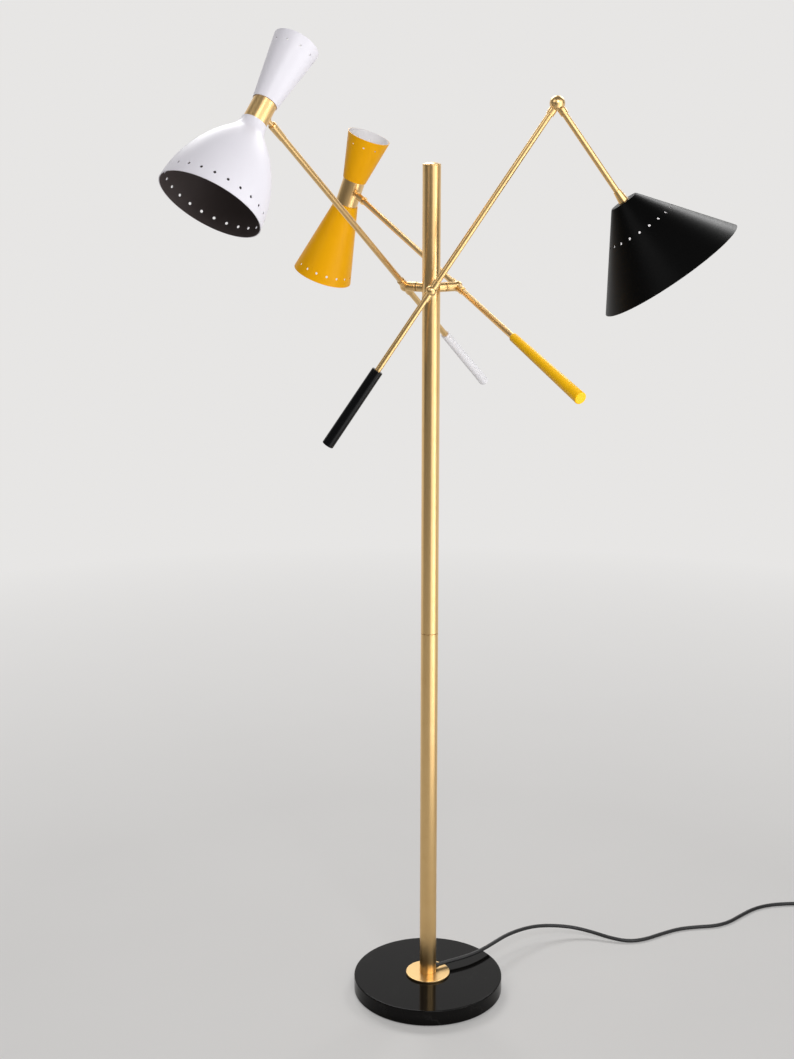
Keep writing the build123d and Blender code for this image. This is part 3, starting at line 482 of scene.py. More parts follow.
def to_blank(bm, *finishes):
    """Keep each point's place on the piece before it is tilted, for finishes that follow the piece."""
    layers = bm.verts.layers.float_vector
    own = layers.get("own_place") or layers.new("own_place")
    for vert in bm.verts:
        vert[own] = vert.co
    return to_mesh(bm, finishes)


def turned(outline, finish=polished_brass, soft=0.0, hollow=False, steps=LATHE_STEPS, bends=BEND_STEPS):
    """Spin an outline and round its edges by soft millimetres. A hollow one is closed on itself."""
    bm = bmesh.new()
    last = draw(bm, outline, bends)
    if hollow:
        bm.verts.ensure_lookup_table()
        bm.edges.new((last, bm.verts[0]))
    spin_round(bm, steps)
    if soft:
        break_edges(bm, soft)
    return to_blank(bm, finish)


print("lathe ready with", LATHE_STEPS, "steps")

# %% Place and finish a piece
SMOOTH_EDGE = math.radians(35)


def facing(origin, along, toward):
    """A place with Z along one direction and X as near as it can be to another."""
    z = Vector(along).normalized()
    x = Vector(toward)
    x = (x - z * x.dot(z)).normalized()
    turn = Matrix((x, z.cross(x), z)).transposed().to_4x4()
    return Matrix.Translation(origin) @ turn


def piece(name, parts, place, body, stands_for):
    """Join parts into one object, put it in its place and let it ride on its body."""
    bm = bmesh.new()
    finishes = []
    for part in parts:
        first_face = len(bm.faces)
        bm.from_mesh(part)
        bm.faces.ensure_lookup_table()
        for face in bm.faces[first_face:]:
            face.material_index += len(finishes)
        finishes += list(part.materials)
        bpy.data.meshes.remove(part)
    for edge in bm.edges:
        edge.smooth = edge.calc_face_angle(0) < SMOOTH_EDGE
    for face in bm.faces:
        face.smooth = True
    bmesh.ops.transform(bm, matrix=place, verts=bm.verts)
    mesh = to_mesh(bm, finishes, name)
    made = bpy.data.objects.new(name, mesh)
    link_object(made)
    even = made.modifiers.new("even_shading", "WEIGHTED_NORMAL")
    even.keep_sharp = True
    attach(made, body)
    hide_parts(*stands_for)
    print(name, len(mesh.polygons), "faces on", body)
    return made


print("pieces stay smooth up to", round(math.degrees(SMOOTH_EDGE)), "degrees")

# %% [markdown]
# ## Stand
# The stand is a stone disc, a brass flange and two lengths of tube with a thin seam between them, under
# a shallow domed cap. Plain cylinders would do from afar, but a spun outline also gives the recess
# underneath, the bores and the dome in one go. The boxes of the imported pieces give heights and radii.

# %% Base and flange
HERE = Matrix.Identity(4)
STUD_HOLE = 5.05
RECESS_RADIUS = 30
RECESS_DEPTH = 14
BASE_EDGE = 2.2
BASE_STEPS = 128
FLANGE_EDGE = 0.9
FLANGE_STEPS = 96


def turned_size(node):
    """Radius, lowest and highest point of an upright turned node, in millimetres."""
    low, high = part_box(node)
    return (high[0] - low[0]) / 2 / MM, low[2] / MM, high[2] / MM


def tube_line(bore, radius, low, high):
    """The outline of a plain tube."""
    return [(bore, low), (radius, low), (radius, high), (bore, high)]


base_radius, base_low, base_high = turned_size("base_disc")
base_outline = [
    (STUD_HOLE, base_low + RECESS_DEPTH),
    (RECESS_RADIUS, base_low + RECESS_DEPTH),
    (RECESS_RADIUS, base_low),
    (base_radius, base_low),
    (base_radius, base_high),
    (STUD_HOLE, base_high),
]
base_stone = turned(base_outline, black_marble, soft=BASE_EDGE, hollow=True, steps=BASE_STEPS)
piece("stone_base", [base_stone], HERE, "stand", ["base_disc"])

flange_radius, flange_low, flange_high = turned_size("base_flange")
flange_outline = tube_line(STUD_HOLE, flange_radius, flange_low, flange_high)
flange_brass = turned(flange_outline, soft=FLANGE_EDGE, hollow=True, steps=FLANGE_STEPS)
piece("flange", [flange_brass], HERE, "stand", ["base_flange"])

# %% Pole and cap
POLE_WALL = 2
CAP_RIM = 2
for node in ("lower_pole", "upper_pole"):
    pole_radius, pole_low, pole_high = turned_size(node)
    pole_bore = pole_radius - POLE_WALL
    pole = turned(tube_line(pole_bore, pole_radius, pole_low, pole_high), soft=0.4, hollow=True)
    piece(f"{node}_tube", [pole], HERE, "stand", [node])

cap_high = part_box("pole_cap")[1][2] / MM
cap_rise = cap_high - pole_high - CAP_RIM
dome_radius = (pole_radius**2 + cap_rise**2) / (2 * cap_rise)
dome_swing = math.degrees(math.asin(pole_radius / dome_radius))
cap_outline = [
    (0, pole_high),
    (pole_radius, pole_high),
    (pole_radius, pole_high + CAP_RIM),
    (0, cap_high - dome_radius, dome_swing),
]
cap = turned(cap_outline, soft=0.3)
piece("domed_cap", [cap], HERE, "stand", ["pole_cap"])

# %% [markdown]
# ## Hub and arms
# Three short bosses stand out from the pole, 120 degrees apart. On each one turns a knuckle: a ball
# with a barrel towards the pole and a collar for each rod. One outline can't branch, so the three are
# turned singly and run into each other. The tilt joint gives the knuckle's place and the spoke's
# direction, and the next joint along gives the arm's direction.

# %% Where the arms are
joints = {joint["name"]: joint for joint in frame["joints"]}
ARM_ENDS = {"white": "white_swivel", "yellow": "yellow_swivel", "black": "black_elbow"}
arms = {}
spokes = {}
reaches = {}
for colour, end_joint in ARM_ENDS.items():
    pivot = Vector(joints[f"{colour}_tilt"]["pos_m"])
    end = Vector(joints[end_joint]["pos_m"])
    spoke = Vector(joints[f"{colour}_tilt"]["axis"])
    spokes[colour] = spoke
    arms[colour] = facing(pivot, end - pivot, spoke)
    reaches[colour] = (end - pivot).length / MM
    print(colour, "arm reaches", round(reaches[colour], 1), "mm")

# %% Bosses
BOSS_RADIUS = 8
BOSS_START = 10
BOSS_END = 26
RING_INSET = 2
hub_middle = Vector((0, 0, joints["black_tilt"]["pos_m"][2]))


def groove(radius, at, deep, floor, lip):
    """Corners of a groove, with half its width at the floor and at the lip."""
    bottom = radius - deep
    return [(radius, at - lip), (bottom, at - floor), (bottom, at + floor), (radius, at + lip)]


def grooved_barrel(start, end, ring):
    """A barrel with a fine groove round it, which leaves a bright ring by its end."""
    middle = groove(BOSS_RADIUS, ring, deep=0.6, floor=0.4, lip=0.6)
    return [(0, start), (BOSS_RADIUS, start), *middle, (BOSS_RADIUS, end), (0, end)]


def moved(mesh, matrix):
    mesh.transform(matrix)
    return mesh


bosses = []
for spoke in spokes.values():
    outline = grooved_barrel(BOSS_START, BOSS_END, BOSS_END - RING_INSET)
    boss = turned(outline, soft=0.3)
    bosses.append(moved(boss, facing(hub_middle, spoke, (0, 0, 1))))
piece("spoke_bosses", bosses, HERE, "stand", ["hub_bosses"])

# %% Knuckles
KNUCKLE_START = -22.9
BALL_RADIUS = 9
COLLAR_RADIUS = 6.5
COLLAR_REACH = 19
LAID_ALONG_X = Matrix.Rotation(math.pi / 2, 4, "Y")


def rod_line(radius, low, high):
    """The outline of a plain cylinder."""
    return [(0, low), (radius, low), (radius, high), (0, high)]


for colour, arm in arms.items():
    ball = turned([(0, -BALL_RADIUS), (0, 0, 180)], bends=32)
    barrel_outline = grooved_barrel(KNUCKLE_START, 0, KNUCKLE_START + RING_INSET)
    barrel = moved(turned(barrel_outline, soft=0.3), LAID_ALONG_X)
    collar = turned(rod_line(COLLAR_RADIUS, -COLLAR_REACH, COLLAR_REACH), soft=0.7)
    piece(f"{colour}_joint", [ball, barrel, collar], arm, f"{colour}_arm", [f"{colour}_knuckle"])

# %% [markdown]
# ## Rods and grips
# Each arm is one thin tube above the knuckle and one below it. The lower one ends in a painted grip,
# slimmer at the top and rounded at the end, which balances the shade and gives the hand something to
# hold. A bevel would round both ends alike, so bends in the outline give each end its own radius.

# %% Grips and lower rods
ROD_RADIUS = 5
ROD_BORE = 4
ROD_SOCKET = 8
GRIP_DEPTH = 40
GRIP_ROUND = 1.2
GRIP_END_ROUND = 1.8
ROD_STEPS = 48
# Start and end below the knuckle, radius at the top and at the end, and finish.
GRIPS = {
    "white": (166, 344, 7.5, 8.5, white_gloss),
    "yellow": (186, 388, 7.3, 10, yellow_gloss),
    "black": (157, 308, 9.8, 10.2, black_gloss),
}


def rod_tube(low, high):
    return turned(tube_line(ROD_BORE, ROD_RADIUS, low, high), soft=0.2, hollow=True, steps=ROD_STEPS)


for colour, (start, end, top_radius, end_radius, paint) in GRIPS.items():
    grip_outline = [
        (0, -end),
        (end_radius - GRIP_END_ROUND, -end),
        (end_radius - GRIP_END_ROUND, GRIP_END_ROUND - end, 90),
        (top_radius, -start - GRIP_ROUND),
        (top_radius - GRIP_ROUND, -start - GRIP_ROUND, 90),
        (0, -start),
    ]
    body = f"{colour}_arm"
    handle = turned(grip_outline, paint)
    piece(f"{colour}_handle", [handle], arms[colour], body, [f"{colour}_grip"])
    lower = rod_tube(-start - GRIP_DEPTH, -ROD_SOCKET)
    piece(f"{colour}_rod_below", [lower], arms[colour], body, [f"{colour}_lower_rod"])

# %% [markdown]
# ## Swivels
# A ferrule closes the end of the white and the yellow rod. A thin stub turns inside it and carries
# the brass ring that both shades of a pair push onto, so the stub and the ring belong to the head
# and the ferrule to the arm. All are short outlines for the lathe, and the ring's boss is turned
# upright and then laid over towards the hub.

# %% Ferrules, stubs and upper rods
FERRULE_RADIUS = 6.4
FERRULE_FOOT = 5.7
FERRULE_ROUND = 2.4
FERRULE_SOCKET = 12
STUB_RADIUS = 3.8
RUN_GAP = 0.1
BOSS_RISE = 3
RING_RADII = {"white": 18, "yellow": 20.5}
NECK_LENGTHS = {"white": 12, "yellow": 8}
FERRULE_LENGTHS = {"white": 34, "yellow": 22}
BEAD_RADIUS = 7.5
BEAD_LENGTHS = {"white": 0, "yellow": 2.5}
for colour, ring_radius in RING_RADII.items():
    seat = reaches[colour] - ring_radius - BOSS_RISE
    high = seat - NECK_LENGTHS[colour]
    low = high - FERRULE_LENGTHS[colour]
    foot = low + BEAD_LENGTHS[colour]
    bead = [(BEAD_RADIUS, low), (BEAD_RADIUS, foot)] if foot > low else []
    ferrule_outline = [
        (0, low),
        *bead,
        (FERRULE_FOOT, foot),
        (FERRULE_RADIUS, high - FERRULE_ROUND),
        (FERRULE_RADIUS - FERRULE_ROUND, high - FERRULE_ROUND, 90),
        (0, high),
    ]
    arm = arms[colour]
    sleeve = turned(ferrule_outline, soft=0.4)
    piece(f"{colour}_rod_end", [sleeve], arm, f"{colour}_arm", [f"{colour}_ferrule"])
    upper = rod_tube(ROD_SOCKET, low + FERRULE_SOCKET)
    piece(f"{colour}_rod_above", [upper], arm, f"{colour}_arm", [f"{colour}_upper_rod"])
    stub = turned(rod_line(STUB_RADIUS, high + RUN_GAP, seat), soft=0.3, steps=ROD_STEPS)
    piece(f"{colour}_stub", [stub], arm, f"{colour}_head", [f"{colour}_swivel_stub"])

# %% Where the double shades are
SHADE_ROLLS = {"white": -7.1, "yellow": 10.5}
SHADE_LEANS = {"white": -2.5, "yellow": 0}


def shade_place(colour, down=False):
    """The shade's axis along Z from the end of its arm, with X back towards the hub."""
    along = arms[colour].to_3x3().col[2]
    origin = arms[colour] @ Vector((0, 0, reaches[colour] * MM))
    upright = (Vector((0, 0, 1)) - along * along.z).normalized()
    turn = math.radians(SHADE_ROLLS[colour])
    tip = math.radians(SHADE_LEANS[colour])
    square = upright * math.cos(turn) + along.cross(upright) * math.sin(turn)
    axis = square * math.cos(tip) + along * math.sin(tip)
    back = square * math.sin(tip) - along * math.cos(tip)
    return facing(origin, -axis if down else axis, back)


up = {colour: shade_place(colour) for colour in SHADE_ROLLS}
down = {colour: shade_place(colour, down=True) for colour in SHADE_ROLLS}
print("white shade axis", [round(value, 3) for value in up["white"].to_3x3().col[2]])

# %% Rings
RING_WALL = 1.6
SPIGOT = 4
RING_BOSS_RADIUS = 6.5
RING_LOW = {"white": 19.8, "yellow": 27.5}
RING_HIGH = {"white": 15.1, "yellow": 19.5}
for colour, radius in RING_RADII.items():
    low = -RING_LOW[colour] - SPIGOT
    high = RING_HIGH[colour] + SPIGOT
    band = turned(tube_line(radius - RING_WALL, radius, low, high), soft=0.3, hollow=True)
    boss_outline = rod_line(RING_BOSS_RADIUS, radius - RING_WALL / 2, radius + BOSS_RISE)
    toward_hub = Matrix.Rotation(math.radians(90 + SHADE_LEANS[colour]), 4, "Y")
    boss = moved(turned(boss_outline, soft=0.4), toward_hub)
    piece(f"{colour}_band", [band, boss], up[colour], f"{colour}_head", [f"{colour}_ring"])

# %% [markdown]
# ## Shades
# The shades are spun from sheet metal on a wooden former, and that takes the most skill here: the
# bell has to flow from a hollow flare into a full side without a ripple. The helper draws the outside
# line, spins it, and then gives it an even wall inwards, which needs no second line for the inside.
# A ring of drilled holes lets a little light out near the rim, and the faces that look into the shade
# get a second finish.

# %% Shade maker
SHADE_WALL = 1.2
SHADE_STEPS = 144
SHADE_BENDS = 20
LONG_RUN = 30
RUN_CUTS = 11
DRILL_SIDES = 28
DRILL_REACH = 6 * SHADE_WALL
LOOKS_INWARDS = -0.25


def spun_shell(outline):
    """Spin an outside line into sheet metal of an even wall."""
    bm = bmesh.new()
    draw(bm, outline, bends=SHADE_BENDS)
    long_runs = [edge for edge in bm.edges if edge.calc_length() > LONG_RUN * MM]
    bmesh.ops.subdivide_edges(bm, edges=long_runs, cuts=RUN_CUTS)
    spin_round(bm, SHADE_STEPS)
    bm.faces.ensure_lookup_table()
    widest = max(bm.faces, key=lambda face: face.calc_center_median().xy.length)
    if widest.normal.xy.dot(widest.calc_center_median().xy) < 0:
        bmesh.ops.reverse_faces(bm, faces=bm.faces)
    bmesh.ops.solidify(bm, geom=list(bm.faces), thickness=SHADE_WALL * MM)
    return bm


def drilled(bm, count, diameter, radius, height, lean, phase):
    """Drill a ring of holes square to a wall that leans out by an angle."""
    drills = bmesh.new()
    square = Matrix.Rotation(math.radians(90 + lean), 4, "Y")
    at_wall = Matrix.Translation((radius * MM, 0, height * MM)) @ square
    for hole in range(count):
        swing = Matrix.Rotation(math.radians(phase + 360 * hole / count), 4, "Z")
        bmesh.ops.create_cone(
            drills,
            cap_ends=True,
            segments=DRILL_SIDES,
            radius1=diameter / 2 * MM,
            radius2=diameter / 2 * MM,
            depth=DRILL_REACH * MM,
            matrix=swing @ at_wall,
        )
    shell = bpy.data.objects.new("shell", to_blank(bm))
    tool = bpy.data.objects.new("drills", to_blank(drills))
    for blank in (shell, tool):
        link_object(blank)
    holes = shell.modifiers.new("holes", "BOOLEAN")
    holes.object = tool
    holes.solver = "EXACT"
    ready = shell.evaluated_get(bpy.context.evaluated_depsgraph_get())
    cut = bmesh.new()
    cut.from_mesh(ready.to_mesh())
    ready.to_mesh_clear()
    for blank in (shell, tool):
        bpy.data.meshes.remove(blank.data)
    return cut


def lined(bm, mouth, outside, inside):
    """Give the faces that look into the shade the inside finish."""
    mesh = to_blank(bm, outside, inside)
    middle = Vector((0, 0, mouth * MM))
    for face in mesh.polygons:
        away = (face.center - middle).normalized()
        if face.normal.dot(away) < LOOKS_INWARDS:
            face.material_index = 1
    return mesh


print("shades get a wall of", SHADE_WALL, "mm and", SHADE_STEPS, "steps")

# %% Bell
WHITE_NECK = 19.35
BELL_LENGTH = 141.6
BELL_MOUTH = 79.5
BELL_SIDE = 185
BELL_TURN_IN = 8.5
BELL_HOLES = 24
BELL_PHASE = -3.7
HOLE_FROM_RIM = 15
BIG_HOLE = 4.2
SMALL_HOLE = 3.2


def raised(place, height):
    """A place further up its own Z axis, in millimetres."""
    return place @ Matrix.Translation((0, 0, height * MM))


side_x = BELL_MOUTH - math.sqrt(BELL_SIDE**2 - BELL_TURN_IN**2)
side_z = BELL_LENGTH + BELL_TURN_IN
across = WHITE_NECK - side_x
flare = (across**2 + side_z**2 - BELL_SIDE**2) / (2 * (BELL_SIDE - across))
flare_swing = math.degrees(math.atan2(side_z, across + flare))
mouth_swing = math.degrees(math.asin(BELL_TURN_IN / BELL_SIDE))
bell_line = [
    (WHITE_NECK, 0),
    (WHITE_NECK + flare, 0, -flare_swing),
    (side_x, side_z, flare_swing - mouth_swing),
]
hole_lean = math.asin((BELL_TURN_IN + HOLE_FROM_RIM) / BELL_SIDE)
hole_radius = side_x + BELL_SIDE * math.cos(hole_lean)
bell = drilled(
    spun_shell(bell_line),
    BELL_HOLES,
    BIG_HOLE,
    hole_radius,
    BELL_LENGTH - HOLE_FROM_RIM,
    math.degrees(hole_lean),
    BELL_PHASE,
)
bell_mesh = lined(bell, BELL_LENGTH, white_satin, charcoal_satin)
white_low = raised(down["white"], RING_LOW["white"])
piece("bell", [bell_mesh], white_low, "white_head", ["white_bell"])

# %% Cones
YELLOW_NECK = 21.85


def cone(neck, outside, inside, mouth, length, count, diameter, phase=0):
    """A cone with its finishes, its size, and the number, size and start of its holes."""
    lean = math.degrees(math.atan2(mouth - neck, length))
    height = length - HOLE_FROM_RIM
    radius = neck + (mouth - neck) * height / length
    shell = drilled(spun_shell([(neck, 0), (mouth, length)]), count, diameter, radius, height, lean, phase)
    return lined(shell, length, outside, inside)


white_cone = cone(
    WHITE_NECK, white_satin, charcoal_satin,
    mouth=35.5, length=103.4, count=10, diameter=SMALL_HOLE, phase=18,
)
yellow_cone = cone(
    YELLOW_NECK, yellow_satin, lining_white, mouth=55.5, length=145, count=16, diameter=BIG_HOLE
)
yellow_top = cone(
    YELLOW_NECK, yellow_satin, lining_white, mouth=39.5, length=84, count=10, diameter=SMALL_HOLE
)
white_high = raised(up["white"], RING_HIGH["white"])
yellow_low = raised(down["yellow"], RING_LOW["yellow"])
yellow_high = raised(up["yellow"], RING_HIGH["yellow"])
piece("white_cone", [white_cone], white_high, "white_head", ["white_upper_shade"])
piece("yellow_cone", [yellow_cone], yellow_low, "yellow_head", ["yellow_lower_shade"])
piece("yellow_top_cone", [yellow_top], yellow_high, "yellow_head", ["yellow_upper_shade"])

# %% [markdown]
# ## Elbow and black head
# The black arm bends at a ball that is split into two halves: the rear half belongs to the arm and the
# front half to the head, and a screw draws them together. A half ball is an outline of one bend that is
# laid on its side. Each half has a neck whose foot is hollowed to sit on the ball, so that the other
# half can turn under it.

# %% Elbow
ELBOW_RADIUS = 12.3
ELBOW_GAP = 0.1
ELBOW_NECK = 6.7
ELBOW_REACH = 21
NECK_GROOVE = 2.7
SCREW_BORE = 4.55
SCREW_SEAT = 8.3
SHAFT_BORE = 2.55
HEAD_SLOPE = math.radians(-54.2)

elbow_at = Vector(joints["black_elbow"]["pos_m"])
arm_along = arms["black"].to_3x3().col[2]
level = spokes["black"].cross(Vector((0, 0, -1)))
head_along = level * math.cos(HEAD_SLOPE) + Vector((0, 0, math.sin(HEAD_SLOPE)))
arm_elbow = facing(elbow_at, -arm_along, spokes["black"])
head = facing(elbow_at, head_along, spokes["black"])
rim_angle = math.degrees(math.atan2(ELBOW_GAP, ELBOW_RADIUS))
bore_angle = math.degrees(math.acos(SCREW_BORE / ELBOW_RADIUS))
foot_angle = math.degrees(math.asin(ELBOW_NECK / (ELBOW_RADIUS + ELBOW_GAP)))
rear_outline = [
    (ELBOW_RADIUS, ELBOW_GAP),
    (0, 0, bore_angle - rim_angle),
    (SCREW_BORE, SCREW_SEAT),
    (SHAFT_BORE, SCREW_SEAT),
    (SHAFT_BORE, ELBOW_GAP),
]
front_outline = [(0, ELBOW_GAP), (ELBOW_RADIUS, ELBOW_GAP), (0, 0, 90 - rim_angle)]
neck_outline = [
    (0, ELBOW_RADIUS + ELBOW_GAP),
    (0, 0, -foot_angle),
    *groove(ELBOW_NECK, ELBOW_REACH - NECK_GROOVE, deep=0.5, floor=0.3, lip=0.5),
    (ELBOW_NECK, ELBOW_REACH),
    (0, ELBOW_REACH),
]
rear_half = moved(turned(rear_outline, hollow=True, bends=24), LAID_ALONG_X.inverted())
front_half = moved(turned(front_outline, bends=24), LAID_ALONG_X)
rear_neck = turned(neck_outline, soft=0.2)
front_neck = turned(neck_outline, soft=0.2)
piece("elbow_rear", [rear_half, rear_neck], arm_elbow, "black_arm", ["elbow_rear_cheek"])
piece("elbow_front", [front_half, front_neck], head, "black_head", ["elbow_front_cheek"])

# %% Rods and ferrule of the black arm
ELBOW_SOCKET = 14
HEAD_TOP = 187
NUT_THICK = 4
HOLDER_BASE = 8
ROD_FIT = 0.05
HEAD_COLLAR_LENGTH = 20
HEAD_COLLAR_THIN = 6.2
HEAD_COLLAR_WIDE = 8.5

black_rod = rod_tube(ROD_SOCKET, reaches["black"] - ELBOW_SOCKET)
piece("black_rod_above", [black_rod], arms["black"], "black_arm", ["black_upper_rod"])
nut_end = HEAD_TOP + SHADE_WALL + NUT_THICK
head_tube = rod_tube(ELBOW_SOCKET, nut_end + HOLDER_BASE)
piece("black_head_rod", [head_tube], head, "black_head", ["head_rod"])
rod_hole = ROD_RADIUS + ROD_FIT
collar_start = HEAD_TOP - HEAD_COLLAR_LENGTH
collar_outline = [
    (rod_hole, collar_start),
    (HEAD_COLLAR_THIN, collar_start),
    (HEAD_COLLAR_WIDE, HEAD_TOP),
    (rod_hole, HEAD_TOP),
]
head_collar = turned(collar_outline, soft=0.35, hollow=True)
piece("black_head_collar", [head_collar], head, "black_head", ["head_ferrule"])

# %% Black cone
BLACK_TOP = 25
BLACK_BEVEL = 2
BLACK_RIM = 125
BLACK_LENGTH = 135
BLACK_HOLES = 20
BLACK_HOLES_AT = 48
BLACK_PHASE = 10

black_slope = (BLACK_RIM - BLACK_TOP) / (BLACK_LENGTH - BLACK_BEVEL)
black_line = [
    (rod_hole, 0),
    (BLACK_TOP - BLACK_BEVEL, 0),
    (BLACK_TOP, BLACK_BEVEL),
    (BLACK_RIM, BLACK_LENGTH),
]
black_shell = drilled(
    spun_shell(black_line),
    BLACK_HOLES,
    BIG_HOLE,
    BLACK_TOP + black_slope * (BLACK_HOLES_AT - BLACK_BEVEL),
    BLACK_HOLES_AT,
    math.degrees(math.atan(black_slope)),
    BLACK_PHASE,
)
black_mesh = lined(black_shell, BLACK_LENGTH, black_satin, lining_white)
piece("black_cone", [black_mesh], raised(head, HEAD_TOP), "black_head", ["black_shade"])

# %% [markdown]
# ## Lampholders
# Inside each shade sits a porcelain cup with a threaded brass shell, seen when the lamp is looked at
# from below. The cup is one outline with a groove round its waist, and the shell is a wavy line: a loop
# puts one crest and one hollow for every turn of the thread. A true helix looks no finer at this size.

# %% Lampholder
SOCKET_BORE = 7.2
CUP_CORNER = 2
CUP_LIP = 1.5
WAIST_SHARE = 0.4
SHELL_START = 2
SHELL_INSET = 4
SHELL_FIT = 0.1
THREAD_PITCH = 3
THREAD_CREST = 1.3
THREAD_HOLLOW = 0.6
CONTACT_LINE = [(0, -1.5), (3, -1.5), (2.2, 0.5), (0, 1)]
SMALL_STEPS = 32


def lampholder(start, radius, length):
    end = start + length
    cup_outline = [
        (rod_hole, start),
        (radius - CUP_CORNER, start),
        (radius, start + CUP_CORNER),
        *groove(radius, start + WAIST_SHARE * length, deep=1, floor=0.5, lip=1.5),
        (radius, end - CUP_CORNER),
        (radius - CUP_LIP, end),
        (SOCKET_BORE + CUP_LIP, end),
        (SOCKET_BORE, end - CUP_LIP),
        (SOCKET_BORE, start + HOLDER_BASE),
        (rod_hole, start + HOLDER_BASE),
    ]
    low = start + HOLDER_BASE + SHELL_START
    turns = int((end - SHELL_INSET - low) / THREAD_PITCH)
    high = low + turns * THREAD_PITCH
    shell_outline = [(SOCKET_BORE - SHELL_FIT, high), (SOCKET_BORE - SHELL_FIT, low)]
    for turn in range(turns):
        shell_outline.append((SOCKET_BORE - THREAD_CREST, low + turn * THREAD_PITCH))
        shell_outline.append((SOCKET_BORE - THREAD_HOLLOW, low + (turn + 0.5) * THREAD_PITCH))
    shell_outline.append((SOCKET_BORE - THREAD_CREST, high))
    contact_outline = [(across, low + rise) for across, rise in CONTACT_LINE]
    return [
        turned(cup_outline, porcelain, soft=0.4, hollow=True),
        turned(shell_outline, socket_brass, soft=0.2, hollow=True, steps=ROD_STEPS),
        turned(contact_outline, socket_brass, soft=0.3, steps=SMALL_STEPS),
    ]


# Start, radius and length of a lampholder.
PAIR_HOLDER = (7, 13.5, 38)
BLACK_HOLDER = (nut_end, 17, 46)
for colour in up:
    parts = [moved(part, up[colour]) for part in lampholder(*PAIR_HOLDER)]
    parts += [moved(part, down[colour]) for part in lampholder(*PAIR_HOLDER)]
    piece(f"{colour}_sockets", parts, HERE, f"{colour}_head", [f"{colour}_lampholders"])
piece("black_socket", lampholder(*BLACK_HOLDER), head, "black_head", ["black_lampholder"])

# %% [markdown]
# ## Plug
# The plug is moulded in one with its ribbed strain relief. A box with its cord end drawn in and its
# edges bevelled gives the body, a lathe outline with a groove for each rib gives the relief, and a few
# raised bars give the fingers a hold.

# %% Strain relief
RELIEF_LENGTH = 26
RELIEF_RIBS = 6
RELIEF_THIN = 4.5
RELIEF_SWELL = 3
RELIEF_END = 7
RELIEF_SUNK = 1
RELIEF_STEPS = 40
RIB_WIDTH = 2.6
SLIT_START = 3
SLIT_END = 4
SLIT_DEPTH = 0.8

plug_place = facing(tail_end * MM, (0, -1, 0), (0, 0, 1))
relief_outline = [(0, 0)]
for rib in range(RELIEF_RIBS):
    radius = RELIEF_THIN + RELIEF_SWELL * rib / RELIEF_RIBS
    start = RELIEF_LENGTH * rib / RELIEF_RIBS
    slit = radius - SLIT_DEPTH
    relief_outline += [(radius, start), (radius, start + RIB_WIDTH)]
    relief_outline += [(slit, start + SLIT_START), (slit, start + SLIT_END)]
relief_high = RELIEF_LENGTH + RELIEF_SUNK
relief_outline += [(RELIEF_END, relief_high), (0, relief_high)]
relief = turned(relief_outline, moulded_black, soft=0.25, steps=RELIEF_STEPS)
print("relief with", RELIEF_RIBS, "ribs")

# %% Plug body
PLUG_LENGTH = 38
PLUG_WIDE = 35
PLUG_HIGH = 25
PLUG_EDGE = 4
PLUG_DRAW_IN = 0.82
BARS = 4
BARS_START = 10
BARS_APART = 5
BAR_SIZE = (13, 2, 2.2)
BAR_INSET = 2
BAR_EDGE = 0.6


def moulded_block(size, middle, soft, draw_in=1.0):
    """A box with its lower end drawn in and its edges rounded."""
    bm = bmesh.new()
    bmesh.ops.create_cube(bm, size=MM)
    bmesh.ops.scale(bm, vec=size, verts=bm.verts)
    low_end = [vert for vert in bm.verts if vert.co.z < 0]
    bmesh.ops.scale(bm, vec=(draw_in, draw_in, 1), verts=low_end)
    bmesh.ops.translate(bm, vec=Vector(middle) * MM, verts=bm.verts)
    break_edges(bm, soft, segments=5)
    return to_blank(bm, moulded_black)


block_size = (PLUG_HIGH, PLUG_WIDE, PLUG_LENGTH)
block_middle = (0, 0, RELIEF_LENGTH + PLUG_LENGTH / 2)
plug_parts = [relief, moulded_block(block_size, block_middle, PLUG_EDGE, PLUG_DRAW_IN)]
for bar in range(BARS):
    along = RELIEF_LENGTH + BARS_START + BARS_APART * bar
    for side in (-1, 1):
        bar_middle = (0, side * (PLUG_WIDE / 2 - BAR_INSET), along)
        plug_parts.append(moulded_block(BAR_SIZE, bar_middle, BAR_EDGE))
plug = piece("plug", plug_parts, plug_place, "stand", ["plug_body"])

# %% Plug pins
PIN_LENGTH = 19
PIN_RADIUS = 2.4
PIN_APART = 19
PIN_SUNK = 6
PIN_ROUND = 1.5

pin_outline = [
    (0, -PIN_SUNK),
    (PIN_RADIUS, -PIN_SUNK),
    (PIN_RADIUS, PIN_LENGTH - PIN_ROUND),
    (PIN_RADIUS - PIN_ROUND, PIN_LENGTH - PIN_ROUND, 90),
    (0, PIN_LENGTH),
]
pins = []
for side in (-1, 1):
    at = Matrix.Translation((0, side * PIN_APART / 2 * MM, (RELIEF_LENGTH + PLUG_LENGTH) * MM))
    pins.append(moved(turned(pin_outline, bright_nickel, steps=SMALL_STEPS), at))
prongs = piece("prongs", pins, plug_place, "stand", ["plug_pins"])

# %% [markdown]
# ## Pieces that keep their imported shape
# Washers, pins, nuts and the strap round the coil are already the right shape. They keep the packed
# mesh and only get a finish of their own.

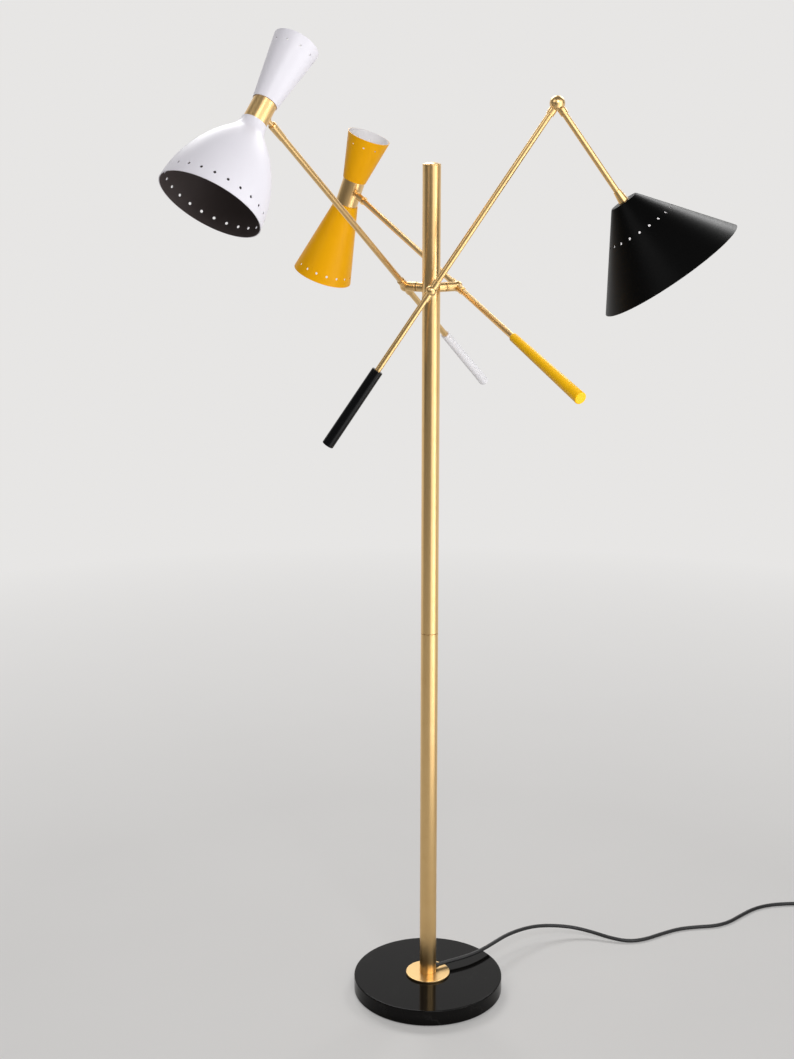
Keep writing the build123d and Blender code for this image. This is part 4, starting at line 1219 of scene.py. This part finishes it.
# %% Kept pieces
STEEL = ["base_washer", "base_nut", "base_stud", "foot_plug", "pivot_pins", "elbow_screw"]
BRASS = ["pole_coupler", "hub_core", "shade_nut", "white_holder_cross", "yellow_holder_cross"]
KEPT = {
    "base_pad": black_felt,
    "friction_washers": dark_fibre,
    "terminal_block": cream_nylon,
    "cord_bush": cord_rubber,
    "cord_tie": strap_black,
}
STEEL += [f"{colour}_grub_screw" for colour in ARM_ENDS]
KEPT |= {node: bright_steel for node in STEEL} | {node: inner_brass for node in BRASS}
for node, finish in KEPT.items():
    slots = frame["nodes"][node].data.materials
    slots.clear()
    slots.append(finish)
print("kept pieces", len(KEPT))

# %% Finish the cord
cord_curve.materials.append(cord_rubber)
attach(cord, "stand")
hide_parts("mains_cord", "cord_coil")

# %% [markdown]
# ## Floor and light
# The floor is pale paper that turns into the backdrop a few steps away, as a photographer's roll does:
# for the camera its far part glows in the backdrop's colour, so there is no horizon. Metal is only as
# lively as what it mirrors. Rays that leave it backwards meet the same backdrop, and rays that come
# forwards meet a dim room with a tall panel on the right, which draws the long bright band on the pole.
# The panel and the strip beside it are so close that the floor would show their edges, so light linking
# leaves the floor out for them.

# %% Floor
FLOOR_REACH = 40
FLOOR_SIDES = 96
PAPER_PALE = (0.72, 0.71, 0.70)
PAPER_DEEP = (0.68, 0.67, 0.66)
BACKDROP = (0.80, 0.79, 0.78)
BACKDROP_NEAR = 0.9
BACKDROP_FAR = 3.2
NEAR_SHARE = 0.3


def sees_backdrop(finish, behind):
    """1 for the camera's rays and through glass, and for metal as far as a place is behind the lamp."""
    camera_ray = finish.add("ShaderNodeLightPath", {}, {}, "Is Camera Ray")
    glass_ray = finish.add("ShaderNodeLightPath", {}, {}, "Is Transmission Ray")
    metal_ray = finish.add("ShaderNodeLightPath", {}, {}, "Is Glossy Ray")
    return camera_ray + glass_ray + metal_ray * behind


floor_bm = bmesh.new()
bmesh.ops.create_circle(floor_bm, cap_ends=True, segments=FLOOR_SIDES, radius=FLOOR_REACH)
paper = Finish("floor_paper")
floor_mesh = to_mesh(floor_bm, [paper.material], "floor")
floor = bpy.data.objects.new("floor", floor_mesh)
link_object(floor)

spot = paper.object_place()
grain = paper.noise(spot, scale=3)
paper.surface(base_color=paper.mixed(PAPER_PALE, PAPER_DEEP, grain), roughness=0.85)
steps_away = paper.add("ShaderNodeVectorMath", {"operation": "LENGTH"}, {0: spot}, "Value")
steps_back = paper.add("ShaderNodeSeparateXYZ", {}, {0: spot}, "Y")
away = paper.between((steps_away - BACKDROP_NEAR) * (1 / (BACKDROP_FAR - BACKDROP_NEAR)), 0, 1)
share = NEAR_SHARE + (1 - NEAR_SHARE) * away
seen = sees_backdrop(paper, paper.between(steps_back, 0, 1))
glow = paper.add("ShaderNodeEmission", {}, {"Color": (*BACKDROP, 1), "Strength": 1})
sheet = Flow(paper, paper.shader.outputs[0])
roll = paper.add("ShaderNodeMixShader", {}, {0: seen * share, 1: sheet, 2: glow})
paper.feed(paper.tree.nodes["Material Output"].inputs["Surface"], roll)
paper.material.cycles.emission_sampling = "NONE"
print("floor", FLOOR_REACH, "m")

# %% Lamps
# Place, the point it looks at, width and height, and power.
LAMPS = {
    "right panel": ((0.75, -0.66, 1.15), (0, 0, 1.15), (1.4, 2.3), 12),
    "right strip": ((0.82, -0.57, 1.15), (0, 0, 1.15), (0.06, 1.8), 2.4),
    "front panel": ((0.6, -3.1, 3.4), (0, 0, 1.0), (1.6, 1.6), 50),
    "left panel": ((-2.0, -1.5, 3.2), (0, 0, 1.0), (1.6, 1.6), 14),
    "back panel": ((-0.9, 2.8, 3.5), (0, 0, 1.1), (2.0, 1.4), 60),
    "back right panel": ((1.5, 2.4, 3.1), (0.4, 0, 1.4), (1.2, 1.2), 26),
}
OFF_THE_FLOOR = ("right panel", "right strip")
not_on_floor = bpy.data.collections.new("not_on_floor")
not_on_floor.objects.link(floor)
not_on_floor.collection_objects[0].light_linking.link_state = "EXCLUDE"
for name, (place, target, (wide, high), power) in LAMPS.items():
    lamp_data = bpy.data.lights.new(name, "AREA")
    lamp_data.shape = "RECTANGLE"
    lamp_data.size = wide
    lamp_data.size_y = high
    lamp_data.energy = power
    lamp = bpy.data.objects.new(name, lamp_data)
    lamp.location = place
    lamp.visible_camera = False
    lamp.rotation_euler = (Vector(target) - Vector(place)).to_track_quat("-Z", "Y").to_euler()
    if name in OFF_THE_FLOOR:
        lamp.light_linking.receiver_collection = not_on_floor
    link_object(lamp)
print("lamps", len(LAMPS))

# %% Room light
ROOM_LIGHT = (0.18, 0.177, 0.174)
BACKDROP_EDGE = 0.2
BACKDROP_FULL = 0.8


class Room(Finish):
    """The world's nodes, made in the same way as a finish."""

    def __init__(self, world):
        self.tree = world.node_tree


world = bpy.data.worlds.new("room")
world.use_nodes = True
scene.world = world
room = Room(world)
way = room.add("ShaderNodeTexCoord", {}, {}, "Generated")
backwards = room.add("ShaderNodeSeparateXYZ", {}, {0: way}, "Y")
behind_lamp = room.between(backwards, BACKDROP_EDGE, BACKDROP_FULL)
view = room.mixed(ROOM_LIGHT, BACKDROP, sees_backdrop(room, behind_lamp))
room.feed(room.tree.nodes["Background"].inputs["Color"], view)
print("room light", ROOM_LIGHT[0], "backdrop", BACKDROP[0])
